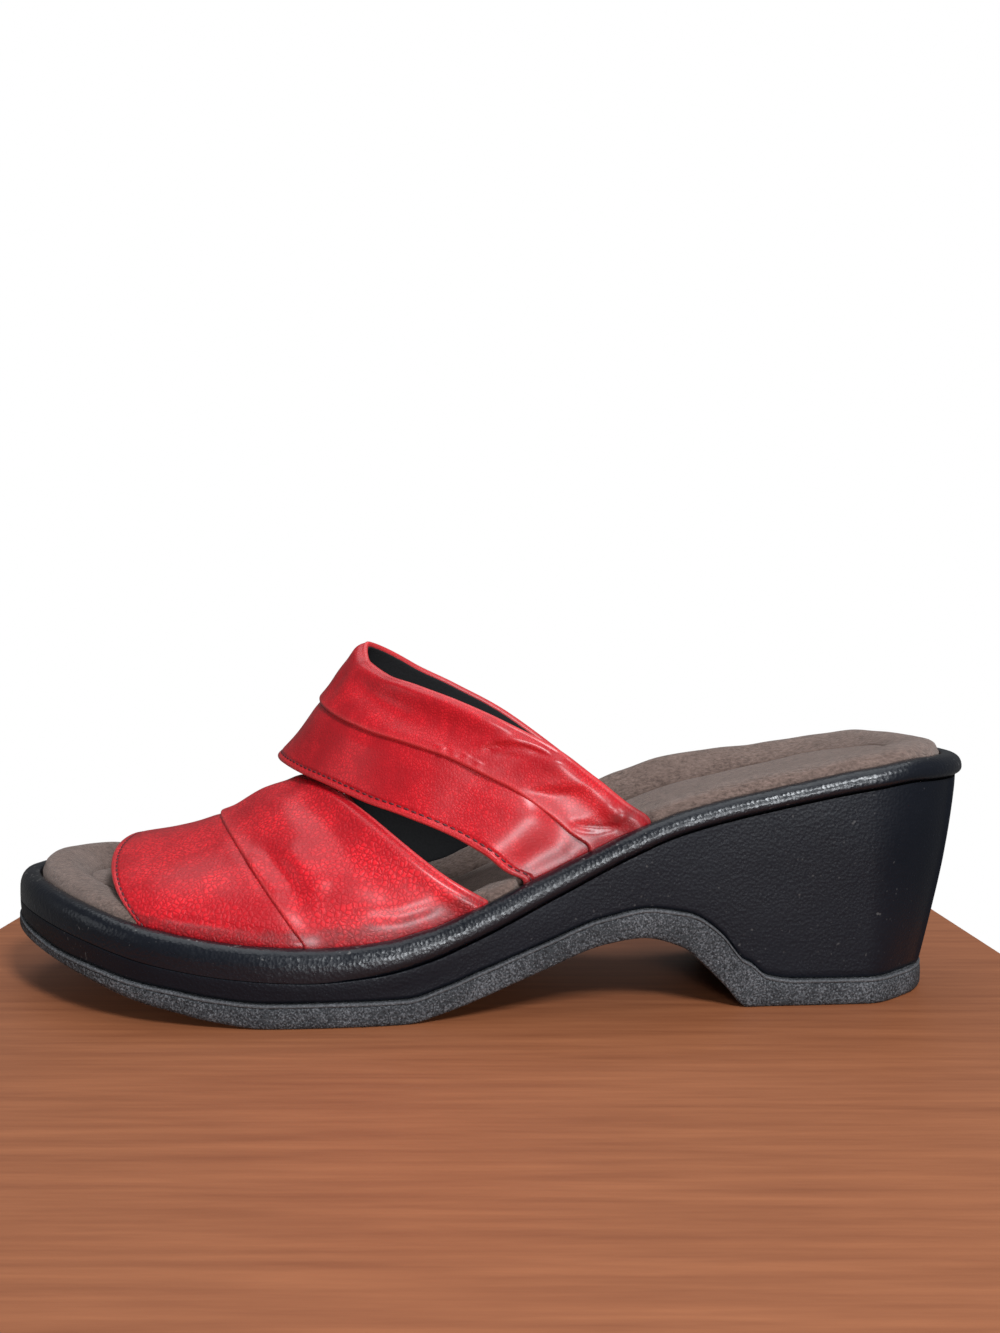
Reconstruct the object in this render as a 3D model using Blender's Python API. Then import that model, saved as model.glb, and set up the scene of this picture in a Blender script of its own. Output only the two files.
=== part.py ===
"""Platform wedge sandal, left shoe: outsole, wedge, rolled rand, footbed, inlay pad and strap upper.

The toe points to -X, the heel to +X and the little-toe side to -Y. The shoe stands on z = 0.
"""

import bpy
import bmesh
import numpy as np

# Overall sizes of the shoe, in metres
LENGTH = 0.260
BALL_WIDTH = 0.094
FOREFOOT_RIM = 0.0185
HEEL_RIM = 0.063
ARCH_HEIGHT = 0.0184
TOE_SPRING = 0.0145
INSTEP_HEIGHT = 0.0745

# Sizes of the single pieces
OUTSOLE_THICKNESS = 0.006
OUTSOLE_LIP = 0.0008
OUTSOLE_CHAMFER = 0.0011
WALL_INSET = 0.0017
ROLL_HEIGHT = 0.0072
ROLL_WIDTH = 0.0055
BUMPER_WIDTH = 0.0135
BUMPER_HEIGHT = 0.0028
ARCH_PAD = 0.0068
PAD_LEVEL = 0.0008
PAD_THICKNESS = 0.0024
STRAP_WALL = 0.002
CLEARANCE = 0.0003
CUT_CLEARANCE = 0.0006
CUTTER_SINK = 0.001
ROLL_SQUARENESS = 2.7
SUPPORT_BLEND = 0.6

# Edge sections from bottom to top. Inlay pad: how far in, and share of the thickness below its top;
# outsole: share of the thickness below its top, and share of the chamfer; wedge: share of its depth
PAD_EDGE_ROWS = ((0.0, 1.0), (0.0, 0.35), (0.0007, 0.1), (0.002, 0.0))
OUTSOLE_EDGE_ROWS = ((1.0, 1.0), (0.8, 0.25), (0.0, 0.0))
WALL_ROWS = (1.0, 0.72, 0.42, 0.16, 0.0)

# How finely each form is divided
CAP_STEPS = 10
MIDDLE_STEP = 0.0058
SHORTEST_STEP = 0.0014
INNER_LINE_STEPS = 720
ANGLE_NUDGE = 1e-4
SHARP_ANGLE = 40
ROLL_SIDES = 10
ARCH_STEPS = 24
STRAP_STEPS = 14

# Plan outline: half-widths as shares of half the ball width, the inward slope of the wall, and how
# far the wall is tucked in under the roll as a share of its inset
OUTLINE_COLUMNS = ("station", "lateral", "medial", "batter", "tuck")
OUTLINE = (
    (0.00, 0.66, 0.72, 0.200, 1.00),
    (0.06, 0.67, 0.72, 0.170, 1.00),
    (0.12, 0.68, 0.72, 0.105, 1.00),
    (0.25, 0.70, 0.70, 0.085, 1.00),
    (0.40, 0.77, 0.68, 0.085, 1.00),
    (0.52, 0.88, 0.74, 0.060, 1.00),
    (0.62, 0.975, 0.87, 0.020, 0.90),
    (0.70, 1.00, 0.975, 0.000, 0.75),
    (0.76, 0.975, 1.00, 0.000, 0.65),
    (0.86, 0.87, 0.97, 0.000, 0.50),
    (1.00, 0.60, 0.85, 0.000, 0.48),
)
HEEL_CAP = 0.125
TOE_CAPS = {-1: 0.20, 1: 0.165}
BATTER_BOW = 1.4

# Side line of the rim: rise from forefoot to heel, share of the toe spring, share of the roll height
RIM_COLUMNS = ("station", "rise", "tip", "roll")
RIM_LINE = (
    (0.00, 1.000, 0.000, 0.80),
    (0.07, 1.000, 0.000, 0.78),
    (0.12, 0.955, 0.000, 0.74),
    (0.20, 0.860, 0.000, 0.72),
    (0.31, 0.705, 0.000, 0.76),
    (0.355, 0.605, 0.000, 0.82),
    (0.43, 0.405, 0.000, 0.95),
    (0.51, 0.185, 0.000, 1.00),
    (0.55, 0.092, 0.000, 1.00),
    (0.60, 0.026, 0.000, 1.00),
    (0.66, 0.000, 0.000, 1.00),
    (0.735, 0.000, 0.070, 1.00),
    (0.815, 0.000, 0.270, 1.00),
    (0.88, 0.000, 0.510, 1.00),
    (0.94, 0.000, 0.690, 1.00),
    (1.00, 0.000, 0.830, 1.00),
)

# Side line of the outsole: share of the arch height, of the toe spring and of the thickness
SOLE_COLUMNS = ("station", "arch", "tip", "thickness")
SOLE_LINE = (
    (0.00, 0.000, 0.000, 1.10),
    (0.195, 0.000, 0.000, 1.12),
    (0.224, 0.000, 0.000, 1.30),
    (0.244, 0.000, 0.000, 1.95),
    (0.268, 0.330, 0.000, 2.08),
    (0.288, 0.610, 0.000, 1.92),
    (0.308, 0.850, 0.000, 1.50),
    (0.348, 1.000, 0.000, 1.22),
    (0.384, 0.930, 0.000, 1.12),
    (0.445, 0.610, 0.000, 1.10),
    (0.505, 0.280, 0.000, 1.10),
    (0.535, 0.130, 0.000, 1.05),
    (0.575, 0.000, 0.000, 1.00),
    (0.70, 0.000, 0.000, 1.00),
    (0.755, 0.000, 0.110, 0.93),
    (0.79, 0.000, 0.245, 0.85),
    (0.83, 0.000, 0.395, 0.74),
    (0.88, 0.000, 0.635, 0.58),
    (0.93, 0.000, 0.825, 0.46),
    (1.00, 0.000, 1.060, 0.60),
)

# Footbed rim: how far in from its edge as a share of its width, and how high as a share of its height
BUMPER_COLUMNS = ("inward", "height", "lift")
BUMPER = (
    (0.00, 0.00, 0.00),
    (0.08, 0.72, 0.40),
    (0.22, 0.98, 0.85),
    (0.48, 1.04, 1.00),
    (0.74, 0.74, 0.60),
    (0.96, 0.20, 0.10),
)

# Arch support: how much of the pad's height the inner side of the footbed rim gains
SUPPORT_COLUMNS = ("station", "lift")
SUPPORT = (
    (0.00, 0.10),
    (0.06, 0.14),
    (0.20, 0.42),
    (0.28, 0.76),
    (0.36, 0.92),
    (0.46, 0.80),
    (0.56, 0.40),
    (0.66, 0.10),
    (0.84, 0.10),
    (0.92, 0.36),
    (1.00, 0.40),
)

# Sections of the two straps from front edge to rear edge. lateral, crest and medial are stations along
# the shoe, side is the crest's shift to the inner side as a share of half the ball width, height is a
# share of the instep height, round is the fullness of the arch, and leave and settle say how soon the
# line bends forwards above its foot and how gently it reaches its crest.
STRAP_COLUMNS = ("strap", "lateral", "crest", "medial", "side", "height", "round", "leave", "settle")
FRONT_STRAP = (
    (0.00, 0.835, 0.893, 0.873, 0.170, 0.150, 2.05, 1.00, 2.10),
    (0.25, 0.753, 0.842, 0.815, 0.165, 0.217, 2.00, 1.15, 1.70),
    (0.50, 0.671, 0.790, 0.750, 0.150, 0.307, 1.95, 1.20, 1.40),
    (0.75, 0.584, 0.741, 0.694, 0.120, 0.427, 1.95, 1.15, 1.20),
    (1.00, 0.497, 0.693, 0.638, 0.060, 0.486, 2.05, 1.10, 1.10),
)
REAR_STRAP = (
    (0.00, 0.463, 0.735, 0.592, 0.340, 0.545, 2.20, 1.45, 1.60),
    (0.25, 0.433, 0.710, 0.543, 0.280, 0.642, 2.18, 1.50, 1.80),
    (0.50, 0.400, 0.683, 0.484, 0.230, 0.780, 2.16, 1.58, 1.95),
    (0.75, 0.369, 0.658, 0.425, 0.190, 0.913, 2.15, 1.48, 1.80),
    (1.00, 0.338, 0.633, 0.3615, 0.170, 1.000, 2.15, 1.35, 1.68),
)

# How far the rear strap lies above or below its plain arch, in metres, at shares of the arch from the
# lateral foot to the medial foot: it slumps beside its crest and swells over its flanks
SLUMP_COLUMNS = ("share", "front", "seam", "throat")
SLUMP = (
    (0.00, 0.0, 0.0, 0.0),
    (0.05, -0.0010, -0.0016, -0.0016),
    (0.10, 0.0013, 0.0004, 0.0),
    (0.16, 0.0027, 0.0030, 0.0020),
    (0.22, 0.0018, 0.0034, 0.0012),
    (0.28, 0.0, 0.0015, -0.0008),
    (0.34, -0.0007, -0.0011, -0.0036),
    (0.40, -0.0012, -0.0020, -0.0058),
    (0.46, -0.0008, -0.0014, -0.0050),
    (0.52, 0.0, 0.0, 0.0),
    (0.64, 0.0, 0.0, 0.0),
    (0.72, 0.0, 0.0008, 0.0020),
    (0.80, 0.0, 0.0016, 0.0037),
    (0.88, 0.0, 0.0010, 0.0025),
    (0.95, 0.0, 0.0, 0.0006),
    (1.00, 0.0, 0.0, 0.0),
)

# Shares of the arch between which the facing edges of the two straps draw together, and join
PART_AT = 0.50
JOIN_AT = 0.76

# Colours, roughness and metal share of each piece
FINISHES = {
    "outsole": ((0.045, 0.048, 0.052), 0.85, 0.0),
    "wedge": ((0.010, 0.011, 0.014), 0.38, 0.0),
    "rand": ((0.010, 0.011, 0.014), 0.30, 0.0),
    "footbed": ((0.28, 0.22, 0.19), 0.95, 0.0),
    "sock_liner": ((0.30, 0.24, 0.20), 0.95, 0.0),
    "upper": ((0.52, 0.018, 0.028), 0.35, 0.0),
}


def column(table, columns, name):
    """One named column of a table, as an array."""
    return np.array([row[columns.index(name)] for row in table])


def line_through(table, columns, name):
    """Smooth curve through one column of a table that never overshoots a row, so flats stay flat."""
    place = column(table, columns, columns[0])
    height = column(table, columns, name)
    step = np.diff(place)
    slope = np.diff(height) / step
    tangent = np.zeros(len(place))
    tangent[0] = slope[0]
    tangent[-1] = slope[-1]
    for i in range(1, len(place) - 1):
        if slope[i - 1] * slope[i] > 0:
            before = 2 * step[i] + step[i - 1]
            after = step[i] + 2 * step[i - 1]
            tangent[i] = (before + after) / (before / slope[i - 1] + after / slope[i])

    def value(at):
        at = np.clip(at, place[0], place[-1])
        i = np.clip(np.searchsorted(place, at) - 1, 0, len(step) - 1)
        k = (at - place[i]) / step[i]
        start = (1 + 2 * k) * (1 - k) ** 2 * height[i] + k * (1 - k) ** 2 * step[i] * tangent[i]
        end = k ** 2 * (3 - 2 * k) * height[i + 1] + k ** 2 * (k - 1) * step[i] * tangent[i + 1]
        return start + end

    return value


lateral_width = line_through(OUTLINE, OUTLINE_COLUMNS, "lateral")
medial_width = line_through(OUTLINE, OUTLINE_COLUMNS, "medial")
wall_batter = line_through(OUTLINE, OUTLINE_COLUMNS, "batter")
wall_tuck = line_through(OUTLINE, OUTLINE_COLUMNS, "tuck")
rim_rise = line_through(RIM_LINE, RIM_COLUMNS, "rise")
rim_tip = line_through(RIM_LINE, RIM_COLUMNS, "tip")
roll_share = line_through(RIM_LINE, RIM_COLUMNS, "roll")
sole_arch = line_through(SOLE_LINE, SOLE_COLUMNS, "arch")
sole_tip = line_through(SOLE_LINE, SOLE_COLUMNS, "tip")
sole_thickness = line_through(SOLE_LINE, SOLE_COLUMNS, "thickness")
support_lift = line_through(SUPPORT, SUPPORT_COLUMNS, "lift")


def station_of(x):
    """Share of the length from the heel, 0, to the toe, 1."""
    return np.clip(0.5 - x / LENGTH, 0.0, 1.0)


def x_of(station):
    """Distance along the shoe of a station."""
    return LENGTH * (0.5 - station)


def rim_z(x):
    """Height of the top of the roll."""
    s = station_of(x)
    return FOREFOOT_RIM + (HEEL_RIM - FOREFOOT_RIM) * rim_rise(s) + TOE_SPRING * rim_tip(s)


def deck_z(x):
    """Top of the wedge, which carries the roll and the footbed."""
    return rim_z(x) - ROLL_HEIGHT * roll_share(station_of(x)) - CLEARANCE


def floor_z(x):
    """Underside of the outsole."""
    s = station_of(x)
    return ARCH_HEIGHT * sole_arch(s) + TOE_SPRING * sole_tip(s)


def joint_z(x):
    """Top of the outsole, under the wedge."""
    return floor_z(x) + OUTSOLE_THICKNESS * sole_thickness(station_of(x))


def end_share(stations, side):
    """Share of the full width left by the rounded heel and toe caps on one side."""
    heel = np.clip(1 - stations / HEEL_CAP, 0, 1)
    toe = np.clip(1 - (1 - stations) / TOE_CAPS[side], 0, 1)
    return np.sqrt(np.clip(1 - heel ** 2, 0, 1) * np.clip(1 - toe ** 2, 0, 1))


def outline(stations, side):
    """Points and outward directions of the shoe's plan outline on one side, -1 lateral, 1 medial."""
    def place(angle):
        s = (1 - np.cos(angle)) / 2
        lateral = lateral_width(s) * BALL_WIDTH / 2
        medial = medial_width(s) * BALL_WIDTH / 2
        y = (medial - lateral) / 2 + side * (medial + lateral) / 2 * end_share(s, side)
        return np.stack([x_of(s), y], axis=-1)

    angle = np.arccos(1 - 2 * np.clip(stations, 0.0, 1.0))
    ahead = np.minimum(angle + ANGLE_NUDGE, np.pi)
    behind = np.maximum(angle - ANGLE_NUDGE, 0.0)
    along = place(ahead) - place(behind)
    out = np.stack([along[:, 1] * side, -along[:, 0] * side], axis=-1)
    out[angle < ANGLE_NUDGE] = (1.0, 0.0)
    out[angle > np.pi - ANGLE_NUDGE] = (-1.0, 0.0)
    return place(angle), out / np.linalg.norm(out, axis=1)[:, None]


def inner_line(inset, side):
    """Function of x for the y of one side of the outline, moved in by an inset."""
    place, out = outline((1 - np.cos(np.linspace(0, np.pi, INNER_LINE_STEPS + 1))) / 2, side)
    inner = (place - out * inset)[::-1]
    return lambda x: np.interp(x, inner[:, 0], inner[:, 1])


def stations_along(extra=()):
    """Stations from heel to toe, close together round the two ends, with each place in extra kept."""
    heel = HEEL_CAP * (1 - np.cos(np.linspace(0, np.pi / 2, CAP_STEPS)))
    longest_cap = max(TOE_CAPS.values())
    toe = 1 - longest_cap * (1 - np.cos(np.linspace(0, np.pi / 2, CAP_STEPS)))
    count = int(round(LENGTH * (1 - HEEL_CAP - longest_cap) / MIDDLE_STEP))
    middle = np.linspace(HEEL_CAP, 1 - longest_cap, count + 1)[1:-1]
    kept = [s for s in sorted(extra) if 0 < s < 1]
    free = [s for s in np.concatenate([heel, middle, toe[::-1]])
            if s in (0.0, 1.0) or all(abs(s - k) * LENGTH > SHORTEST_STEP for k in kept)]
    return np.array(sorted(set(free + kept)))


def ring(stations, inset):
    """Closed loop of plan points: heel tip, lateral side, toe tip, medial side; inset is an array."""
    near, near_out = outline(stations, -1)
    far, far_out = outline(stations, 1)
    near = near - near_out * inset[:, None]
    far = far - far_out * inset[:, None]
    return np.concatenate([near, far[-2:0:-1]])


def inner_ring(stations, inset, share):
    """Loop at an inset that turns, with share, from even spacing into a shorter, rounder outline."""
    even = ring(stations, np.full(len(stations), inset))
    x = (LENGTH / 2 - inset) * (1 - 2 * stations)
    lateral = lateral_width(station_of(x)) * BALL_WIDTH / 2
    medial = medial_width(station_of(x)) * BALL_WIDTH / 2
    middle = (medial - lateral) / 2
    half = (medial + lateral) / 2 - inset
    near = np.column_stack([x, middle - half * end_share(stations, -1)])
    far = np.column_stack([x, middle + half * end_share(stations, 1)])
    rounder = np.concatenate([near, far[-2:0:-1]])
    return even * (1 - share) + rounder * share


def loft(name, stations, rows):
    """Solid between closed loops of the same stations, closed by strips across the shoe."""
    bm = bmesh.new()
    loops = [[bm.verts.new(point) for point in row] for row in rows]
    count = len(loops[0])
    for lower, upper in zip(loops, loops[1:]):
        for i in range(count):
            j = (i + 1) % count
            bm.faces.new((lower[i], lower[j], upper[j], upper[i]))
    last = len(stations) - 1
    for loop in (loops[0], loops[-1]):
        for i in range(last):
            corners = [loop[i], loop[i + 1], loop[count - i - 1], loop[(count - i) % count]]
            bm.faces.new(list(dict.fromkeys(corners)))
    return finish(name, bm)


def finish(name, bm):
    """Turn a bmesh into an object with outward faces and its own finish."""
    bmesh.ops.recalc_face_normals(bm, faces=bm.faces)
    mesh = bpy.data.meshes.new(name)
    bm.to_mesh(mesh)
    bm.free()
    mesh.shade_smooth()
    mesh.set_sharp_from_angle(angle=np.radians(SHARP_ANGLE))
    piece = bpy.data.objects.new(name, mesh)
    bpy.context.scene.collection.objects.link(piece)
    return piece


def paint(piece):
    """Give a piece its own material."""
    colour, roughness, metallic = FINISHES[piece.name]
    material = bpy.data.materials.new(piece.name)
    material.use_nodes = True
    shader = material.node_tree.nodes["Principled BSDF"]
    shader.inputs["Base Color"].default_value = (*colour, 1.0)
    shader.inputs["Roughness"].default_value = roughness
    shader.inputs["Metallic"].default_value = metallic
    piece.data.materials.append(material)


def with_height(loop, height):
    """Plan loop raised to a height for each point."""
    return np.column_stack([loop, height])


def wall_inset(stations, depth_share):
    """How far the wedge's wall lies inside the outline at a share of its depth."""
    x = x_of(stations)
    depth = deck_z(x) - joint_z(x)
    return WALL_INSET * wall_tuck(stations) + wall_batter(stations) * depth * depth_share ** BATTER_BOW


def make_outsole():
    """Rubber outsole of nearly even thickness that follows the arch, the breast and the toe spring."""
    stations = stations_along(column(SOLE_LINE, SOLE_COLUMNS, "station"))
    edge = wall_inset(stations, 1.0) - OUTSOLE_LIP
    rows = []
    for drop, chamfer in OUTSOLE_EDGE_ROWS:
        loop = ring(stations, edge + OUTSOLE_CHAMFER * chamfer)
        top = joint_z(loop[:, 0])
        rows.append(with_height(loop, top - drop * (top - floor_z(loop[:, 0]))))
    return loft("outsole", stations, rows)


def make_wedge():
    """Leather-wrapped platform and heel, between the outsole and the deck."""
    stations = stations_along(column(SOLE_LINE, SOLE_COLUMNS, "station"))
    rows = []
    for share in WALL_ROWS:
        loop = ring(stations, wall_inset(stations, share))
        deck = deck_z(loop[:, 0])
        rows.append(with_height(loop, deck - share * (deck - joint_z(loop[:, 0]) - CLEARANCE)))
    return loft("wedge", stations, rows)


def make_rand():
    """Padded leather roll that runs round the edge of the deck as one closed ring."""
    stations = stations_along()
    loops = []
    for k in range(ROLL_SIDES):
        angle = 2 * np.pi * (k + 0.5) / ROLL_SIDES
        outward, upward = superellipse(angle, ROLL_SQUARENESS)
        loop = ring(stations, np.full(len(stations), ROLL_WIDTH / 2 * (1 - outward)))
        low = deck_z(loop[:, 0]) + CLEARANCE
        high = rim_z(loop[:, 0])
        loops.append(with_height(loop, (low + high) / 2 + (high - low) / 2 * upward))
    bm = bmesh.new()
    verts = [[bm.verts.new(point) for point in loop] for loop in loops]
    count = len(verts[0])
    for k in range(ROLL_SIDES):
        this, other = verts[k], verts[(k + 1) % ROLL_SIDES]
        for i in range(count):
            j = (i + 1) % count
            bm.faces.new((this[i], this[j], other[j], other[i]))
    return finish("rand", bm)


def superellipse(angle, power):
    """Point on a rounded box of half-size 1: across and up."""
    c, s = np.cos(angle), np.sin(angle)
    return np.sign(c) * abs(c) ** (2 / power), np.sign(s) * abs(s) ** (2 / power)


def medial_share(loop):
    """0 on the lateral side of a loop, 1 on the medial side, with a soft change across the middle."""
    k = np.clip(0.5 + loop[:, 1] / (BALL_WIDTH * SUPPORT_BLEND), 0, 1)
    return k ** 2 * (3 - 2 * k)


def bed_edge():
    """How far the footbed's edge lies inside the outline, next to the roll."""
    return ROLL_WIDTH + CLEARANCE


def pad_top_z(x):
    """Top of the inlay pad."""
    return rim_z(x) + PAD_LEVEL


def make_footbed():
    """Suede-covered footbed with a raised padded rim and a shallow bed for the inlay pad."""
    stations = stations_along()
    rows = []
    loop = inner_ring(stations, bed_edge(), 0.0)
    rows.append(with_height(loop, deck_z(loop[:, 0]) + CLEARANCE))
    for inward, height, lift in BUMPER:
        loop = inner_ring(stations, bed_edge() + inward * BUMPER_WIDTH, inward)
        raised = ARCH_PAD * lift * support_lift(station_of(loop[:, 0])) * medial_share(loop)
        rows.append(with_height(loop, rim_z(loop[:, 0]) + BUMPER_HEIGHT * height + raised))
    loop = inner_ring(stations, bed_edge() + BUMPER_WIDTH, 1.0)
    rows.append(with_height(loop, pad_top_z(loop[:, 0]) - PAD_THICKNESS - CLEARANCE))
    return loft("footbed", stations, rows)


def make_sock_liner():
    """Flat inlay pad inside the footbed's rim."""
    stations = stations_along()
    edge = bed_edge() + BUMPER_WIDTH + CLEARANCE
    rows = []
    for inward, drop in PAD_EDGE_ROWS:
        loop = inner_ring(stations, edge + inward, 1.0)
        rows.append(with_height(loop, pad_top_z(loop[:, 0]) - PAD_THICKNESS * drop))
    return loft("sock_liner", stations, rows)


def strap_grid(table, grow_edges, sink):
    """Outer surface of one strap: rows from front edge to rear edge, columns from lateral to medial."""
    line = {name: line_through(table, STRAP_COLUMNS, name) for name in STRAP_COLUMNS[1:]}
    edge_y = {side: inner_line(bed_edge(), side) for side in (-1, 1)}
    arch = np.linspace(0, np.pi, ARCH_STEPS + 1)
    rows = []
    for v in np.linspace(0, 1, STRAP_STEPS + 1):
        grow = grow_edges * (2 * v - 1)
        crest_x = x_of(line["crest"](v)) + grow
        crest_y = line["side"](v) * BALL_WIDTH / 2
        crest = rim_z(crest_x) + INSTEP_HEIGHT * line["height"](v)
        fullness = 2 / line["round"](v)
        points = []
        for angle in arch:
            side, name = (-1, "lateral") if angle <= np.pi / 2 else (1, "medial")
            foot_x = x_of(line[name](v)) + grow
            across = abs(np.cos(angle)) ** fullness
            up = abs(np.sin(angle)) ** fullness
            climb = 1 - abs(1 - 2 * angle / np.pi)
            forwards = 1 - (1 - climb ** line["leave"](v)) ** line["settle"](v)
            x = foot_x + (crest_x - foot_x) * forwards
            y = crest_y + (edge_y[side](x) - crest_y) * across
            points.append((x, y, rim_z(x) + (crest - rim_z(x)) * up))
        first, last = points[0], points[-1]
        lateral_foot = (first[0], first[1], deck_z(first[0]) + CLEARANCE - sink)
        medial_foot = (last[0], last[1], deck_z(last[0]) + CLEARANCE - sink)
        rows.append([lateral_foot] + points + [medial_foot])
    return np.array(rows)


def slump(v, share):
    """Lift of the rear strap, a smooth curve across its width through its edges and its seam."""
    front, seam, throat = (line_through(SLUMP, SLUMP_COLUMNS, name)(share) for name in SLUMP_COLUMNS[1:])
    return front * (1 - v) * (1 - 2 * v) + seam * 4 * v * (1 - v) + throat * v * (2 * v - 1)


def upper_sheet(grow, sink):
    """Both straps as grids whose facing edges run together on the medial side."""
    front = strap_grid(FRONT_STRAP, grow, sink)
    rear = strap_grid(REAR_STRAP, grow, sink)
    share = np.clip((np.arange(ARCH_STEPS + 3) - 1) / ARCH_STEPS, 0, 1)
    k = np.clip((share - PART_AT) / (JOIN_AT - PART_AT), 0, 1)
    pull = (1 - np.sqrt(1 - k))[:, None]
    shared = (front[-1] + rear[0]) / 2
    to_front = (shared - front[-1]) * pull
    to_rear = (shared - rear[0]) * pull
    v = np.linspace(0, 1, STRAP_STEPS + 1)
    front = front + to_front[None] * (v ** 2)[:, None, None]
    rear = rear + to_rear[None] * ((1 - v) ** 2)[:, None, None]
    rear[:, :, 2] += slump(v[:, None], share[None])
    return front, rear, int(np.argmax(share >= JOIN_AT))


def make_upper(name, grow, sink):
    """Strap upper as one hollow wall; grow and sink make it larger all round and deeper at its feet.

    At the feet the wall stands upright, so its lower edges stay flat on the deck.
    """
    front, rear, joined = upper_sheet(grow, sink)
    rows, columns = front.shape[:2]
    index_front = np.arange(rows * columns).reshape(rows, columns)
    index_rear = index_front + rows * columns
    index_rear[0, joined:] = index_front[-1, joined:]
    points = np.concatenate([front.reshape(-1, 3), rear.reshape(-1, 3)])
    quads = []
    for index in (index_front, index_rear):
        for i in range(rows - 1):
            for j in range(columns - 1):
                quads.append((index[i, j], index[i + 1, j], index[i + 1, j + 1], index[i, j + 1]))
    normals = np.zeros_like(points)
    for a, b, c, d in quads:
        face = np.cross(points[c] - points[a], points[d] - points[b])
        for corner in (a, b, c, d):
            normals[corner] += face / np.linalg.norm(face)
    used = sorted({corner for quad in quads for corner in quad})
    bm = bmesh.new()
    outer, inner = {}, {}
    for corner in used:
        normal = normals[corner].copy()
        if corner % columns in (0, 1, columns - 2, columns - 1):
            normal[2] = 0
        normal = normal / np.linalg.norm(normal)
        outer[corner] = bm.verts.new(points[corner] + normal * grow)
        inner[corner] = bm.verts.new(points[corner] - normal * (STRAP_WALL + grow))
    edges = {}
    for quad in quads:
        bm.faces.new([outer[corner] for corner in quad])
        bm.faces.new([inner[corner] for corner in reversed(quad)])
        for a, b in zip(quad, quad[1:] + quad[:1]):
            edges[(a, b)] = edges.get((a, b), 0) + 1
    for a, b in edges:
        if (b, a) not in edges:
            bm.faces.new((outer[b], outer[a], inner[a], inner[b]))
    return finish(name, bm)


def main():
    for old in list(bpy.data.objects):
        bpy.data.objects.remove(old, do_unlink=True)
    pieces = [make_outsole(), make_wedge(), make_rand(), make_footbed(), make_sock_liner()]
    pieces.append(make_upper("upper", 0.0, 0.0))
    cutter = make_upper("strap_room", CUT_CLEARANCE, CUTTER_SINK)
    cutter.hide_render = True
    cutter.display_type = "WIRE"
    cut = bpy.data.objects["footbed"].modifiers.new("strap slots", "BOOLEAN")
    cut.operation = "DIFFERENCE"
    cut.solver = "EXACT"
    cut.object = cutter
    for piece in pieces:
        paint(piece)


main()
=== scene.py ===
"""Looks of a platform wedge sandal, left shoe: rubber sole, wrapped wedge, suede footbed, red straps."""

import bpy
import numpy as np
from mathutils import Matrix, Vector, noise


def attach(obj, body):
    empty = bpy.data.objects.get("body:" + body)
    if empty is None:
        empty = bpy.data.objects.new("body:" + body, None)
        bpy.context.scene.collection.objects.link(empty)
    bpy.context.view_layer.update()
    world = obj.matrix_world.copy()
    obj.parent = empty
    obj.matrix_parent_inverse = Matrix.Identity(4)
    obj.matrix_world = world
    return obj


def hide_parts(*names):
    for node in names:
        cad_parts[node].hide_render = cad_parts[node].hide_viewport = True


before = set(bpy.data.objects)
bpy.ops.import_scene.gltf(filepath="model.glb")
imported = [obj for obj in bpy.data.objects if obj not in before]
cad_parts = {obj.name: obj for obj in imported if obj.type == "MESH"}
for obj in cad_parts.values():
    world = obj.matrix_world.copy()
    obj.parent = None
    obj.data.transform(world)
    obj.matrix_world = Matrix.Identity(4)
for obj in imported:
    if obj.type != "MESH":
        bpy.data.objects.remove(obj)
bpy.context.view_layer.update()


# Outsole: one moulded sheet of cellular rubber, cut to the outline and cemented under the wedge.
# Its pebbled side wall stands a little proud of the leather and has a fine bead along the top.

LENGTH = 0.260
BALL_WIDTH = 0.094
FOREFOOT_RIM = 0.0185
HEEL_RIM = 0.063
ARCH_HEIGHT = 0.0184
TOE_SPRING = 0.0145
OUTSOLE_THICKNESS = 0.006
WALL_INSET = 0.0017
ROLL_HEIGHT = 0.0072
CLEARANCE = 0.0003
HEEL_CAP = 0.125
TOE_CAPS = {-1: 0.20, 1: 0.165}
BATTER_BOW = 1.4
RING_STEPS = 300

OUTLINE = (
    ("station", "lateral", "medial", "batter", "tuck"),
    (0.00, 0.66, 0.72, 0.200, 1.00),
    (0.06, 0.67, 0.72, 0.170, 1.00),
    (0.12, 0.68, 0.72, 0.105, 1.00),
    (0.25, 0.70, 0.70, 0.085, 1.00),
    (0.40, 0.77, 0.68, 0.085, 1.00),
    (0.52, 0.88, 0.74, 0.060, 1.00),
    (0.62, 0.975, 0.87, 0.020, 0.90),
    (0.70, 1.00, 0.975, 0.000, 0.75),
    (0.76, 0.975, 1.00, 0.000, 0.65),
    (0.86, 0.87, 0.97, 0.000, 0.50),
    (1.00, 0.60, 0.85, 0.000, 0.48),
)

RIM_LINE = (
    ("station", "rise", "tip", "roll"),
    (0.00, 1.000, 0.000, 0.80),
    (0.07, 1.000, 0.000, 0.78),
    (0.12, 0.955, 0.000, 0.74),
    (0.20, 0.860, 0.000, 0.72),
    (0.31, 0.705, 0.000, 0.76),
    (0.355, 0.605, 0.000, 0.82),
    (0.43, 0.405, 0.000, 0.95),
    (0.51, 0.185, 0.000, 1.00),
    (0.55, 0.092, 0.000, 1.00),
    (0.60, 0.026, 0.000, 1.00),
    (0.66, 0.000, 0.000, 1.00),
    (0.735, 0.000, 0.070, 1.00),
    (0.815, 0.000, 0.270, 1.00),
    (0.88, 0.000, 0.510, 1.00),
    (0.94, 0.000, 0.690, 1.00),
    (1.00, 0.000, 0.830, 1.00),
)

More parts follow.
